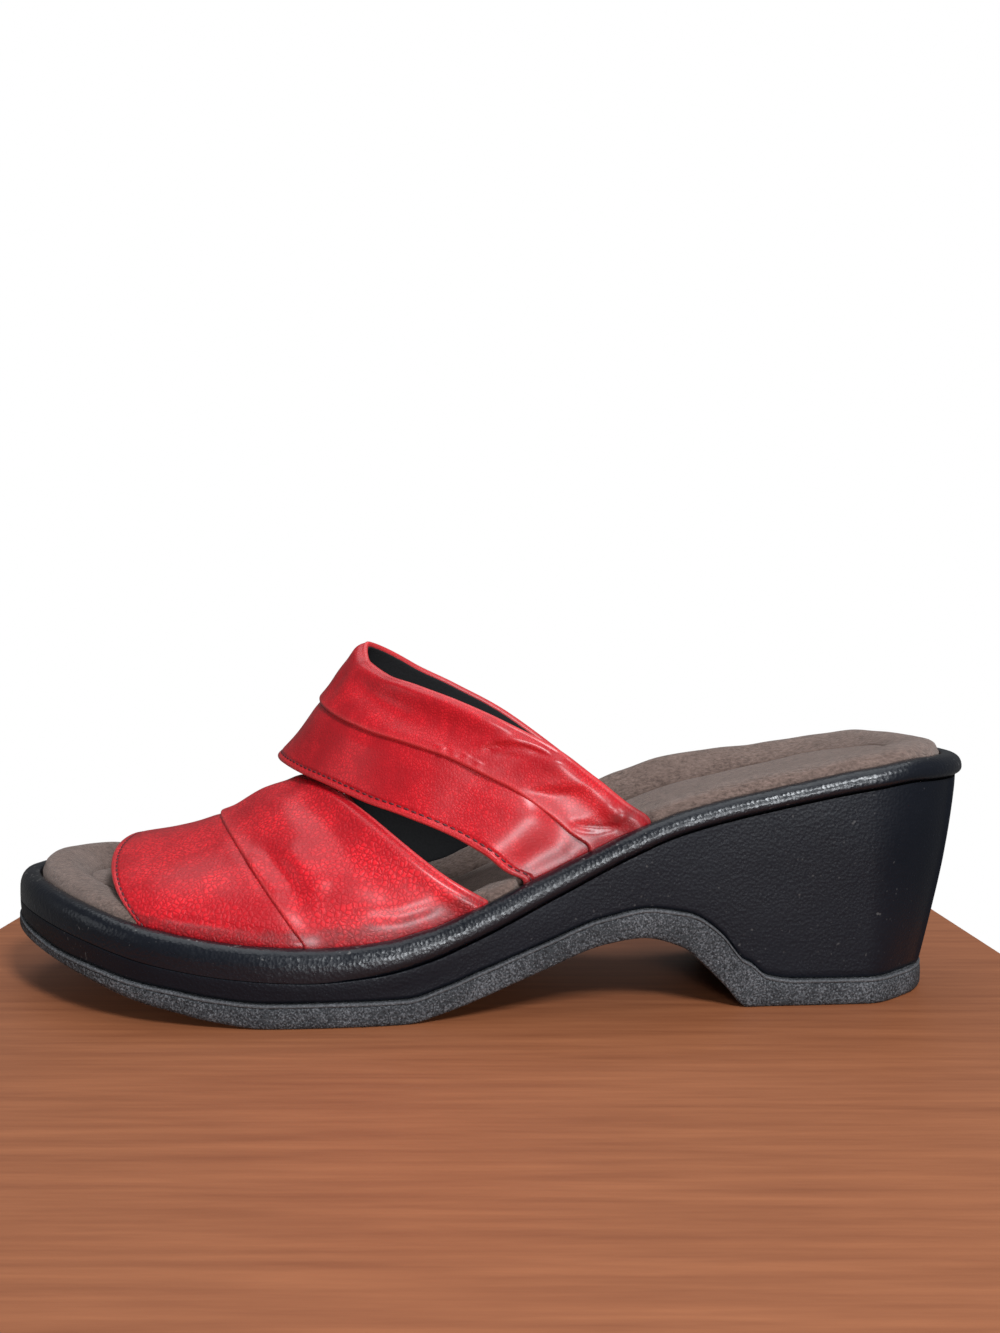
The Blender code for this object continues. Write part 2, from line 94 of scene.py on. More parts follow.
SOLE_LINE = (
    ("station", "arch", "tip", "thickness"),
    (0.00, 0.000, 0.000, 1.10),
    (0.195, 0.000, 0.000, 1.12),
    (0.224, 0.000, 0.000, 1.30),
    (0.244, 0.000, 0.000, 1.95),
    (0.268, 0.330, 0.000, 2.08),
    (0.288, 0.610, 0.000, 1.92),
    (0.308, 0.850, 0.000, 1.50),
    (0.348, 1.000, 0.000, 1.22),
    (0.384, 0.930, 0.000, 1.12),
    (0.445, 0.610, 0.000, 1.10),
    (0.505, 0.280, 0.000, 1.10),
    (0.535, 0.130, 0.000, 1.05),
    (0.575, 0.000, 0.000, 1.00),
    (0.70, 0.000, 0.000, 1.00),
    (0.755, 0.000, 0.110, 0.93),
    (0.79, 0.000, 0.245, 0.85),
    (0.83, 0.000, 0.395, 0.74),
    (0.88, 0.000, 0.635, 0.58),
    (0.93, 0.000, 0.825, 0.46),
    (1.00, 0.000, 1.060, 0.60),
)

# Section of the rubber's side wall from the ground up: share of the thickness, height above that
# share, and how far in from the face, in metres
SIDE_WALL = (
    (0.0, 0.0, 0.0120),
    (0.0, 0.0, 0.0040),
    (0.0, 0.0, 0.0011),
    (0.0, 0.00012, 0.0006),
    (0.0, 0.0004, 0.00025),
    (0.0, 0.0009, 0.0),
    (0.25, 0.0, -0.0001),
    (0.5, 0.0, -0.00015),
    (0.75, 0.0, -0.0001),
    (1.0, -0.0013, 0.0),
    (1.0, -0.0011, 0.00008),
    (1.0, -0.00095, 0.0003),
    (1.0, -0.0008, 0.00008),
    (1.0, -0.0006, -0.0001),
    (1.0, -0.0003, -0.0001),
    (1.0, -0.0001, 0.0001),
    (1.0, 0.0, 0.0004),
    (1.0, 0.0, 0.0040),
)


def smooth_line(table, name):
    """Smooth curve over a table's first column through a named one, which never overshoots a row."""
    place = np.array([row[0] for row in table[1:]])
    height = np.array([row[table[0].index(name)] for row in table[1:]])
    step = np.diff(place)
    slope = np.diff(height) / step
    tangent = np.concatenate([slope[:1], np.zeros(len(place) - 2), slope[-1:]])
    for i in range(1, len(place) - 1):
        if slope[i - 1] * slope[i] > 0:
            before = 2 * step[i] + step[i - 1]
            after = step[i] + 2 * step[i - 1]
            tangent[i] = (before + after) / (before / slope[i - 1] + after / slope[i])

    def value(at):
        at = np.clip(at, place[0], place[-1])
        i = np.clip(np.searchsorted(place, at) - 1, 0, len(step) - 1)
        k = (at - place[i]) / step[i]
        start = (1 + 2 * k) * (1 - k) ** 2 * height[i] + k * (1 - k) ** 2 * step[i] * tangent[i]
        end = k ** 2 * (3 - 2 * k) * height[i + 1] + k ** 2 * (k - 1) * step[i] * tangent[i + 1]
        return start + end

    return value


lateral_width = smooth_line(OUTLINE, "lateral")
medial_width = smooth_line(OUTLINE, "medial")
wall_batter = smooth_line(OUTLINE, "batter")
wall_tuck = smooth_line(OUTLINE, "tuck")
rim_rise = smooth_line(RIM_LINE, "rise")
rim_tip = smooth_line(RIM_LINE, "tip")
roll_share = smooth_line(RIM_LINE, "roll")
sole_arch = smooth_line(SOLE_LINE, "arch")
sole_tip = smooth_line(SOLE_LINE, "tip")
sole_thickness = smooth_line(SOLE_LINE, "thickness")


def station_of(x):
    """Share of the length from the heel, 0, to the toe, 1."""
    return np.clip(0.5 - x / LENGTH, 0.0, 1.0)


def rim_z(x):
    """Height of the top of the roll."""
    s = station_of(x)
    return FOREFOOT_RIM + (HEEL_RIM - FOREFOOT_RIM) * rim_rise(s) + TOE_SPRING * rim_tip(s)


def deck_z(x):
    """Top of the wedge under the roll and the footbed."""
    return rim_z(x) - ROLL_HEIGHT * roll_share(station_of(x)) - CLEARANCE


def floor_z(x):
    """Underside of the outsole."""
    s = station_of(x)
    return ARCH_HEIGHT * sole_arch(s) + TOE_SPRING * sole_tip(s)


def joint_z(x):
    """Top of the outsole, under the wedge."""
    return floor_z(x) + OUTSOLE_THICKNESS * sole_thickness(station_of(x))


def end_share(stations, side):
    """Share of the full width left by the rounded heel and toe caps on one side."""
    heel = np.clip(1 - stations / HEEL_CAP, 0, 1)
    toe = np.clip(1 - (1 - stations) / TOE_CAPS[side], 0, 1)
    return np.sqrt(np.clip(1 - heel ** 2, 0, 1) * np.clip(1 - toe ** 2, 0, 1))


def outline(stations, side):
    """Points and outward directions of the plan outline on one side, -1 lateral, 1 medial."""
    def place(angle):
        s = (1 - np.cos(angle)) / 2
        lateral = lateral_width(s) * BALL_WIDTH / 2
        medial = medial_width(s) * BALL_WIDTH / 2
        y = (medial - lateral) / 2 + side * (medial + lateral) / 2 * end_share(s, side)
        return np.stack([LENGTH * (0.5 - s), y], axis=-1)

    angle = np.arccos(1 - 2 * np.clip(stations, 0.0, 1.0))
    nudge = 1e-4
    along = place(np.minimum(angle + nudge, np.pi)) - place(np.maximum(angle - nudge, 0.0))
    out = np.stack([along[:, 1] * side, -along[:, 0] * side], axis=-1)
    out[angle < nudge] = (1.0, 0.0)
    out[angle > np.pi - nudge] = (-1.0, 0.0)
    return place(angle), out / np.linalg.norm(out, axis=1)[:, None]


def evenly_spaced_stations(count):
    """Stations from heel to toe at even distances along the lateral outline."""
    fine = (1 - np.cos(np.linspace(0, np.pi, 4001))) / 2
    place, _ = outline(fine, -1)
    run = np.concatenate([[0], np.cumsum(np.linalg.norm(np.diff(place, axis=0), axis=1))])
    return np.interp(np.linspace(0, run[-1], count), run, fine)


stations = evenly_spaced_stations(RING_STEPS)


def ring(inset):
    """Closed plan loop: heel tip, lateral side, toe tip, medial side, moved in by an inset."""
    inset = np.broadcast_to(inset, stations.shape)[:, None]
    near, near_out = outline(stations, -1)
    far, far_out = outline(stations, 1)
    return np.concatenate([near - near_out * inset, (far - far_out * inset)[-2:0:-1]])


def both_sides(values):
    """A value for each station, repeated for every point of a ring."""
    return np.concatenate([values, values[-2:0:-1]])


def ring_outward():
    """Outward direction at each point of a ring."""
    return np.concatenate([outline(stations, -1)[1], outline(stations, 1)[1][-2:0:-1]])


def wall_inset(depth_share):
    """How far the wedge's wall lies inside the outline at a share of its depth."""
    x = LENGTH * (0.5 - stations)
    depth = deck_z(x) - joint_z(x)
    return WALL_INSET * wall_tuck(stations) + wall_batter(stations) * depth * depth_share ** BATTER_BOW


def new_object(name, data):
    """Object of a mesh, lamp or camera, put in the scene."""
    made = bpy.data.objects.new(name, data)
    bpy.context.scene.collection.objects.link(made)
    return made


def mesh_piece(name, points, faces, material, sharp=35.0):
    """Object of one mesh with smooth shading, outward faces and a material."""
    mesh = bpy.data.meshes.new(name)
    mesh.from_pydata([tuple(p) for p in points], [], faces)
    mesh.validate()
    mesh.shade_smooth()
    mesh.set_sharp_from_angle(angle=np.radians(sharp))
    mesh.materials.append(material)
    return new_object(name, mesh)


def ring_faces(rows, count, closed=False):
    """Quads between stacked closed loops that run the same way round, seen from outside."""
    faces = []
    for k in range(rows if closed else rows - 1):
        a, b = k * count, (k + 1) % rows * count
        faces += [(a + i, b + i, b + (i + 1) % count, a + (i + 1) % count) for i in range(count)]
    return faces


def cap_faces(first, count, up):
    """Strips across the shoe that close a loop of the ring."""
    last = count // 2
    faces = []
    for i in range(last):
        quad = [first + i, first + i + 1, first + count - i - 1, first + (count - i) % count]
        quad = list(dict.fromkeys(quad))
        faces.append(quad if up else quad[::-1])
    return faces


def loft(name, rows, material, sharp=35.0):
    """Closed solid through stacked loops, from the lowest to the highest."""
    count = len(rows[0])
    faces = ring_faces(len(rows), count)
    faces += cap_faces(0, count, False) + cap_faces((len(rows) - 1) * count, count, True)
    return mesh_piece(name, np.concatenate(rows), faces, material, sharp)


def waves(points, size, height, seed):
    """Soft random height for each point, with hollows and swells of about the given size."""
    return np.array([noise.noise(Vector(p) / size + Vector((seed, 0, 0))) for p in points]) * height


def new_material(name):
    """Node material and its shader."""
    material = bpy.data.materials.new(name)
    material.use_nodes = True
    return material, material.node_tree.nodes["Principled BSDF"]


def link(output, node, socket):
    """Link an output to a socket of another node of its tree."""
    output.id_data.links.new(output, node.inputs[socket])


def fed(kind, output, socket, **constants):
    """New node in an output's tree, with the output linked to one socket and constants on others."""
    node = output.id_data.nodes.new(kind)
    link(output, node, socket)
    for name, value in constants.items():
        node.inputs[name].default_value = value
    return node


def object_place(shader, stretch=(1, 1, 1)):
    """Object coordinates, stretched along each axis."""
    place = shader.id_data.nodes.new("ShaderNodeTexCoord")
    return fed("ShaderNodeMapping", place.outputs["Object"], "Vector", Scale=stretch).outputs["Vector"]


def amount_of(shader, name):
    """Amount stored on the piece under a name, from 0 to 1."""
    node = shader.id_data.nodes.new("ShaderNodeAttribute")
    node.attribute_name = name
    return node.outputs["Fac"]


def noise_of(place, size, detail=3.0, roughness=0.55):
    """Noise with lumps of about a size in metres."""
    node = fed("ShaderNodeTexNoise", place, "Vector", Scale=1 / size, Detail=detail, Roughness=roughness)
    return node.outputs["Fac"]


def cells_of(place, size, feature="F1"):
    """Distance pattern of rounded cells of about a size in metres."""
    node = fed("ShaderNodeTexVoronoi", place, "Vector", Scale=1 / size)
    node.feature = feature
    return node.outputs["Distance"]


def ranged(value, low, high, to_low=0.0, to_high=1.0):
    """Part of a value's range, spread out and clamped."""
    limits = {"From Min": low, "From Max": high, "To Min": to_low, "To Max": to_high}
    return fed("ShaderNodeMapRange", value, "Value", **limits).outputs["Result"]


def sum_of(first, second, share):
    """first plus second times a share."""
    node = fed("ShaderNodeMath", second, 0)
    node.operation = "MULTIPLY_ADD"
    node.inputs[1].default_value = share
    link(first, node, 2)
    return node.outputs[0]


def mixed(share, first, second):
    """Colour between two colours or colour outputs."""
    node = fed("ShaderNodeMix", share, "Factor")
    node.data_type = "RGBA"
    sides = [socket for socket in node.inputs if socket.type == "RGBA"]
    for socket, colour in zip(sides, (first, second)):
        if isinstance(colour, tuple):
            socket.default_value = (*colour, 1.0)
        else:
            node.id_data.links.new(colour, socket)
    return [socket for socket in node.outputs if socket.type == "RGBA"][0]


def bumped(shader, height, depth, strength):
    """Bump of a depth in metres on the shader."""
    node = fed("ShaderNodeBump", height, "Height", Strength=strength, Distance=depth)
    link(node.outputs["Normal"], shader, "Normal")


def rubber():
    """Dark grey pebbled rubber with dust in its hollows, and a painted highlight of paler grey along the
    bead.
    """
    material, shader = new_material("pebbled rubber")
    place = object_place(shader)
    pebbles = cells_of(place, 0.0009)
    grit = noise_of(place, 0.0005, 2.0, 0.7)
    cloud = noise_of(place, 0.012)
    dark = mixed(ranged(pebbles, 0.1, 0.6), (0.006, 0.0065, 0.008), (0.022, 0.024, 0.027))
    dusty = mixed(ranged(sum_of(grit, cloud, 0.3), 0.62, 0.84), dark, (0.125, 0.128, 0.137))
    # Painted highlight: a paler grey along the bead, where the amount stored on the outsole says so.
    pale_specks_and_highlight = ranged(amount_of(shader, "edge_highlight"), 0.0, 1.0, 0.0, 0.4)
    link(mixed(pale_specks_and_highlight, dusty, (0.12, 0.122, 0.130)), shader, "Base Color")
    shader.inputs["Roughness"].default_value = 0.78
    shader.inputs["Specular IOR Level"].default_value = 0.35
    bumped(shader, sum_of(pebbles, grit, 0.6), 0.00035, 0.8)
    return material


def set_amount(piece, name, amounts):
    """Store an amount for each point of a piece, for its material to read."""
    piece.data.attributes.new(name, "FLOAT", "POINT").data.foreach_set("value", np.ravel(amounts))


OUTSOLE_LIP = 0.0008
# Rows of the side wall that form the bead, counted from the ground
BEAD_ROWS = (12, 13, 14, 15)
side_rows = []
for thickness_share, above, inward in SIDE_WALL:
    loop = ring(wall_inset(1.0) - OUTSOLE_LIP + inward)
    low, high = floor_z(loop[:, 0]), joint_z(loop[:, 0])
    side_rows.append(np.column_stack([loop, low + (high - low) * thickness_share + above]))
outsole = loft("rubber_outsole", side_rows, rubber(), 50.0)
# Painted highlight: the bead's rows get a paler grey that stands in for light caught along the top of the
# rubber.
bead = np.zeros((len(side_rows), len(side_rows[0])))
bead[list(BEAD_ROWS)] = 1.0
set_amount(outsole, "edge_highlight", bead)
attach(outsole, "root")
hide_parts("outsole")


# Wedge: a foamed core wrapped in thin black leather, glued down and turned in under the footbed and
# over the outsole. The cover closes with a lapped seam at the outer back corner of the heel.

WALL_ROWS = 44
WALL_TURN = 0.0007
WALL_TURN_DEPTH = 0.0012

# Depth of the crease between roll and wall, which fades out towards the toe
CREASE = (
    ("station", "depth"),
    (0.00, 1.00),
    (0.40, 1.00),
    (0.50, 0.85),
    (0.58, 0.40),
    (0.66, 0.08),
    (0.74, 0.00),
    (1.00, 0.00),
)
WALL_FLUSH = 0.00005
FLUSH_GAP = 0.00002
FLUSH_TURN = 0.00005
FLUSH_TURN_DEPTH = 0.0004
SWELL_DEPTH = 0.0045
SEAM_STATION = 0.021
SEAM_RIDGE = 0.0008
SEAM_RIDGE_AT = 0.0008
SEAM_RIDGE_WIDTH = 0.0009
SEAM_GROOVE = 0.0009
SEAM_GROOVE_AT = -0.0003
SEAM_GROOVE_WIDTH = 0.0005
# Unevenness of the wrapped wall: size and height of its swells in metres, and their seed
WALL_WAVES = (0.018, 0.00025, 3.0)


def black_leather(name, grain, sheen_rough, gloss, dust):
    """Black wrapped leather: fine stretched grain, soft sheen, pale rubbed specks and dust."""
    material, shader = new_material(name)
    place = object_place(shader)
    fine = cells_of(place, grain)
    strokes = noise_of(object_place(shader, (0.45, 0.45, 1.6)), 0.0016, 4.0, 0.6)
    cloud = noise_of(place, 0.03)
    specks = noise_of(place, 0.0011, 1.0, 0.4)
    patches = noise_of(place, 0.022, 2.0)
    base = mixed(cloud, (0.0030, 0.0040, 0.0068), (0.0060, 0.0078, 0.0125))
    specked = sum_of(sum_of(specks, patches, 0.5), amount_of(shader, "dust"), 0.10)
    pale_specks_and_highlight = ranged(specked, 1.0, 1.1, 0.0, dust)
    link(mixed(pale_specks_and_highlight, base, (0.16, 0.155, 0.15)), shader, "Base Color")
    streaks = sum_of(strokes, cloud, 0.8)
    link(ranged(streaks, 0.6, 1.2, sheen_rough, sheen_rough + 0.14), shader, "Roughness")
    shader.inputs["Specular IOR Level"].default_value = gloss
    bumped(shader, sum_of(fine, strokes, 0.5), 0.00013, 0.6)
    return material


flush_share = 1 - smooth_line(CREASE, "depth")(stations)


def step_from_seam(loop):
    """Distance of each ring point from the back seam, along the outline, positive towards the toe."""
    step = np.linalg.norm(np.diff(loop[:, :2], axis=0), axis=1)
    run = np.concatenate([[0], np.cumsum(step)])
    seam = np.interp(SEAM_STATION, stations, run[:len(stations)])
    total = run[-1] + np.linalg.norm(loop[0, :2] - loop[-1, :2])
    return (run - seam + total / 2) % total - total / 2


def seam_relief(away):
    """Height of the lapped seam at a distance from it."""
    ridge = SEAM_RIDGE * np.exp(-((away - SEAM_RIDGE_AT) / SEAM_RIDGE_WIDTH) ** 2)
    groove = SEAM_GROOVE * np.exp(-((away - SEAM_GROOVE_AT) / SEAM_GROOVE_WIDTH) ** 2)
    return ridge - groove


wall_rows = []
for k in range(WALL_ROWS):
    share = 1 - k / (WALL_ROWS - 1)
    inset = wall_inset(share)
    loop = ring(inset)
    deck, joint = deck_z(loop[:, 0]), joint_z(loop[:, 0])
    z = deck - share * (deck - joint - CLEARANCE)
    points = np.column_stack([loop, z])
    turned = WALL_TURN * np.clip(1 - (z - joint) / WALL_TURN_DEPTH, 0, 1) ** 2
    flush_swell = both_sides((wall_inset(0.0) - WALL_FLUSH) * flush_share)
    swell = flush_swell * np.exp(-((deck - z) / SWELL_DEPTH) ** 2)
    top_turn = FLUSH_TURN * both_sides(flush_share) * np.clip(1 - (deck - z) / FLUSH_TURN_DEPTH, 0, 1) ** 2
    relief = seam_relief(step_from_seam(loop)) + swell - turned - top_turn
    relief += waves(points, *WALL_WAVES) * np.clip((deck - z) / SWELL_DEPTH, 0, 1)
    points[:, :2] += ring_outward() * relief[:, None]
    wall_rows.append(points)
wedge = loft("leather_wedge", wall_rows, black_leather("wedge leather", 0.0008, 0.40, 0.21, 0.3))
set_amount(wedge, "dust", np.zeros(len(wedge.data.vertices)))
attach(wedge, "root")
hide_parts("wedge")


# Roll: a soft cord covered in the same black leather, laid round the edge of the deck as one ring.
# Dust and rubbed grain gather on its upper side next to the straps.

ROLL_WIDTH = 0.0055
ROLL_ROUNDNESS = 2.25
ROLL_INNER_SQUARENESS = 5.0
ROLL_BELLY = 0.62
ROLL_CREST = 0.70
ROLL_SIDES = 36
ROLL_WAVES = (0.006, 0.00018, 11.0)

# How much dust and dirt lies on the roll along its way round, most beside the strap ends and at the heel
DUST = (
    ("station", "dust"),
    (0.00, 0.2),
    (0.06, 0.8),
    (0.10, 1.0),
    (0.14, 0.2),
    (0.30, 0.0),
    (0.36, 0.5),
    (0.40, 1.0),
    (0.44, 0.5),
    (0.50, 0.1),
    (0.62, 0.3),
    (0.68, 0.9),
    (0.80, 1.0),
    (0.86, 0.4),
    (1.00, 0.1),
)


def superellipse(angle, power):
    """Point on a rounded box of half-size 1: across and up."""
    c, s = np.cos(angle), np.sin(angle)
    return np.sign(c) * abs(c) ** (2 / power), np.sign(s) * abs(s) ** (2 / power)


def roll_row(angle):
    """Loop of the roll at an angle round its section. Near the toe its lower half runs into the wall."""
    inner_top = 0.5 * np.pi < angle < np.pi
    outward, upward = superellipse(angle, ROLL_INNER_SQUARENESS if inner_top else ROLL_ROUNDNESS)
    lower_outer = np.clip((angle - 1.5 * np.pi) / (0.5 * np.pi), 0, 1)
    flat = flush_share if angle > 1.5 * np.pi else 0.0 * flush_share
    round_inset = ROLL_WIDTH * (ROLL_CREST - outward * (ROLL_CREST if outward > 0 else 1 - ROLL_CREST))
    flat_inset = FLUSH_TURN * (1 - lower_outer) ** 8
    loop = ring(round_inset + (flat_inset - round_inset) * flat)
    gap = CLEARANCE + (FLUSH_GAP - CLEARANCE) * both_sides(flush_share)
    low, high = deck_z(loop[:, 0]) + gap, rim_z(loop[:, 0])
    widest = high - ROLL_BELLY * (high - low)
    z = widest + upward * np.where(upward > 0, high - widest, widest - low)
    z += (low + (widest - low) * lower_outer - z) * both_sides(flat)
    return np.column_stack([loop, z])


dust_line = both_sides(smooth_line(DUST, "dust")(stations))
roll_rows, roll_dust = [], []
for k in range(ROLL_SIDES):
    angle = 2 * np.pi * (k + 0.5) / ROLL_SIDES
    points = roll_row(angle)
    points[:, 2] += waves(points, *ROLL_WAVES) * max(np.sin(angle), 0)
    roll_rows.append(points)
    roll_dust.append(dust_line * max(np.sin(angle), 0))
roll = mesh_piece("leather_roll", np.concatenate(roll_rows), ring_faces(ROLL_SIDES, len(roll_rows[0]), True),
                  black_leather("roll leather", 0.0009, 0.24, 0.42, 0.6), 60.0)
set_amount(roll, "dust", roll_dust)
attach(roll, "root")
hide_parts("rand")


# Footbed: foam covered in taupe suede, with a raised soft rim and a shallow bed. The cover is pulled
# over the rim and tucked in behind the roll.

BUMPER_WIDTH = 0.0135
BUMPER_HEIGHT = 0.0028
ARCH_PAD = 0.0068
SUPPORT_BLEND = 0.6
PAD_LEVEL = 0.0008
BUMPER_ROWS = 26
# Share of the rim's width at its last row, and how closely its first rows lie
BUMPER_LAST = 0.96
BUMPER_CROWDING = 1.2
BED_FLOOR_DROP = 0.0026
BED_WAVES = (0.009, 0.0004, 5.0)
BED_WAVES_START = 5

BUMPER = (
    ("inward", "height", "lift"),
    (0.00, 0.00, 0.00),
    (0.08, 0.72, 0.40),
    (0.22, 0.98, 0.85),
    (0.48, 1.04, 1.00),
    (0.74, 0.74, 0.60),
    (0.96, 0.20, 0.10),
)

SUPPORT = (
    ("station", "lift"),
    (0.00, 0.10),
    (0.06, 0.14),
    (0.20, 0.42),
    (0.28, 0.76),
    (0.36, 0.92),
    (0.46, 0.80),
    (0.56, 0.40),
    (0.66, 0.10),
    (0.84, 0.10),
    (0.92, 0.36),
    (1.00, 0.40),
)

bumper_height = smooth_line(BUMPER, "height")
bumper_lift = smooth_line(BUMPER, "lift")
support_lift = smooth_line(SUPPORT, "lift")
bed_edge = ROLL_WIDTH + CLEARANCE


def inner_ring(inset, share):
    """Loop at an inset that turns, with share, from even spacing into a shorter, rounder outline."""
    x = (LENGTH / 2 - inset) * (1 - 2 * stations)
    lateral = lateral_width(station_of(x)) * BALL_WIDTH / 2
    medial = medial_width(station_of(x)) * BALL_WIDTH / 2
    middle = (medial - lateral) / 2
    half = (medial + lateral) / 2 - inset
    near = np.column_stack([x, middle - half * end_share(stations, -1)])
    far = np.column_stack([x, middle + half * end_share(stations, 1)])
    rounder = np.concatenate([near, far[-2:0:-1]])
    return ring(inset) * (1 - share) + rounder * share


def medial_share(loop):
    """0 on the lateral side, 1 on the medial side, with a soft change across the middle."""
    k = np.clip(0.5 + loop[:, 1] / (BALL_WIDTH * SUPPORT_BLEND), 0, 1)
    return k ** 2 * (3 - 2 * k)


def suede():
    """Taupe suede: brushed nap and clumps, darker in random patches."""
    material, shader = new_material("taupe suede")
    place = object_place(shader)
    nap = noise_of(object_place(shader, (0.6, 1.3, 1.0)), 0.0008, 4.0, 0.75)
    clumps = noise_of(place, 0.0035, 3.0, 0.6)
    darkening = noise_of(place, 0.028, 3.0)
    brushed = mixed(ranged(nap, 0.35, 0.68), (0.052, 0.034, 0.028), (0.27, 0.185, 0.155))
    trodden = mixed(ranged(clumps, 0.3, 0.7), (0.085, 0.058, 0.048), (0.19, 0.132, 0.111))
    link(mixed(ranged(darkening, 0.35, 0.7, 0.25, 0.7), brushed, trodden), shader, "Base Color")
    shader.inputs["Roughness"].default_value = 0.95
    shader.inputs["Specular IOR Level"].default_value = 0.15
    shader.inputs["Sheen Weight"].default_value = 0.25
    shader.inputs["Sheen Roughness"].default_value = 0.5
    shader.inputs["Sheen Tint"].default_value = (0.9, 0.8, 0.74, 1.0)
    bumped(shader, sum_of(nap, clumps, 0.8), 0.0007, 0.8)
    return material


# Stretches where a strap goes down between roll and footbed, from its rear edge to its front edge
STRAP_STRETCHES = {-1: ((0.338, 0.463), (0.497, 0.835)), 1: ((0.3615, 0.592), (0.638, 0.873))}
STRAP_ROOM = 0.0026
ROOM_BLEND = 0.006
ROOM_FADE = 0.35


def strap_room(side):
    """How far the footbed's edge gives way to the straps on one side, for each station."""
    room = np.zeros(len(stations))
    for start, end in STRAP_STRETCHES[side]:
        inside = np.minimum(stations - start, end - stations) / ROOM_BLEND + 1
        room = np.maximum(room, np.clip(inside, 0, 1))
    return STRAP_ROOM * room * room * (3 - 2 * room)


bed_room = np.concatenate([strap_room(-1), strap_room(1)[-2:0:-1]])[:, None] * ring_outward()
bed_suede = suede()
bed_rows = [np.column_stack([inner_ring(bed_edge, 0.0) - bed_room, deck_z(ring(bed_edge)[:, 0]) + CLEARANCE])]
for k in range(BUMPER_ROWS):
    inward = BUMPER_LAST * (k / (BUMPER_ROWS - 1)) ** BUMPER_CROWDING
    loop = inner_ring(bed_edge + inward * BUMPER_WIDTH, inward)
    raised = ARCH_PAD * bumper_lift(inward) * support_lift(station_of(loop[:, 0])) * medial_share(loop)
    z = rim_z(loop[:, 0]) + BUMPER_HEIGHT * bumper_height(inward) + raised
    points = np.column_stack([loop - bed_room * max(1 - inward / ROOM_FADE, 0), z])
    points[:, 2] += waves(points, *BED_WAVES) * min(1.0, inward * BED_WAVES_START)
    bed_rows.append(points)
loop = inner_ring(bed_edge + BUMPER_WIDTH, 1.0)
bed_rows.append(np.column_stack([loop, rim_z(loop[:, 0]) + PAD_LEVEL - BED_FLOOR_DROP]))
footbed = loft("suede_footbed", bed_rows, bed_suede, 60.0)
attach(footbed, "root")
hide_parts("footbed")


# Inlay pad: a flat pad of thin foam covered in the same suede, cut to the bed and cemented into it.
# Its edge shows as a soft crease inside the raised rim.

PAD_THICKNESS = 0.0024
PAD_WAVES = (0.014, 0.0005, 8.0)

# Section of the pad's edge: metres in from the edge, and how far down as a share of the thickness
PAD_EDGE = (
    (0.0, 1.0),
    (0.0, 0.45),
    (0.00015, 0.22),
    (0.0005, 0.08),
    (0.001, 0.02),
    (0.002, 0.0),
    (0.006, 0.0),
    (0.009, 0.0),
)

pad_rows = []
for inward, drop in PAD_EDGE:
    loop = inner_ring(bed_edge + BUMPER_WIDTH + CLEARANCE + inward, 1.0)
    points = np.column_stack([loop, rim_z(loop[:, 0]) + PAD_LEVEL - PAD_THICKNESS * drop])
    points[:, 2] += waves(points, *PAD_WAVES) * (1 - drop)
    pad_rows.append(points)
inlay = loft("suede_inlay_pad", pad_rows, bed_suede, 60.0)
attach(inlay, "root")
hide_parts("sock_liner")


# Straps: each of two red leather panels. The rear panel of each overlaps the front one with a folded
# edge, the front edges are stitched, and the rear edges are turned over a soft cord.

INSTEP_HEIGHT = 0.0745
PART_AT = 0.50
JOIN_AT = 0.72
STRAP_COLUMNS = ("strap", "lateral", "crest", "medial", "side", "height", "round", "leave", "settle")
FRONT_STRAP = (
    STRAP_COLUMNS,
    (0.00, 0.835, 0.893, 0.873, 0.170, 0.150, 2.05, 1.00, 2.10),
    (0.25, 0.753, 0.842, 0.815, 0.165, 0.217, 2.00, 1.15, 1.70),
    (0.50, 0.671, 0.790, 0.750, 0.150, 0.307, 1.95, 1.20, 1.40),
    (0.75, 0.584, 0.741, 0.694, 0.120, 0.427, 1.95, 1.15, 1.20),
    (1.00, 0.497, 0.693, 0.638, 0.060, 0.486, 2.05, 1.10, 1.10),
)
REAR_STRAP = (
    STRAP_COLUMNS,
    (0.00, 0.463, 0.735, 0.592, 0.340, 0.545, 2.20, 1.45, 1.60),
    (0.25, 0.433, 0.710, 0.543, 0.280, 0.642, 2.18, 1.50, 1.80),
    (0.50, 0.400, 0.683, 0.484, 0.230, 0.780, 2.16, 1.58, 1.95),
    (0.75, 0.369, 0.658, 0.425, 0.190, 0.913, 2.15, 1.48, 1.80),
    (1.00, 0.338, 0.633, 0.3615, 0.170, 1.000, 2.15, 1.35, 1.68),
)
SLUMP = (
    ("share", "front", "seam", "throat"),
    (0.00, 0.0, 0.0, 0.0),
    (0.05, -0.0010, -0.0016, -0.0016),
    (0.10, 0.0013, 0.0004, 0.0),
    (0.16, 0.0027, 0.0030, 0.0020),
    (0.22, 0.0018, 0.0034, 0.0012),
    (0.28, 0.0, 0.0015, -0.0008),
    (0.34, -0.0007, -0.0011, -0.0036),
    (0.40, -0.0012, -0.0020, -0.0058),
    (0.46, -0.0008, -0.0014, -0.0050),
    (0.52, 0.0, 0.0, 0.0),
    (0.64, 0.0, 0.0, 0.0),
    (0.72, 0.0, 0.0008, 0.0020),
    (0.80, 0.0, 0.0016, 0.0037),
    (0.88, 0.0, 0.0010, 0.0025),
    (0.95, 0.0, 0.0, 0.0006),
    (1.00, 0.0, 0.0, 0.0),
)
SHEET_ROWS = 161
ARCH_COLUMNS = 181
FOOT_COLUMNS = 6
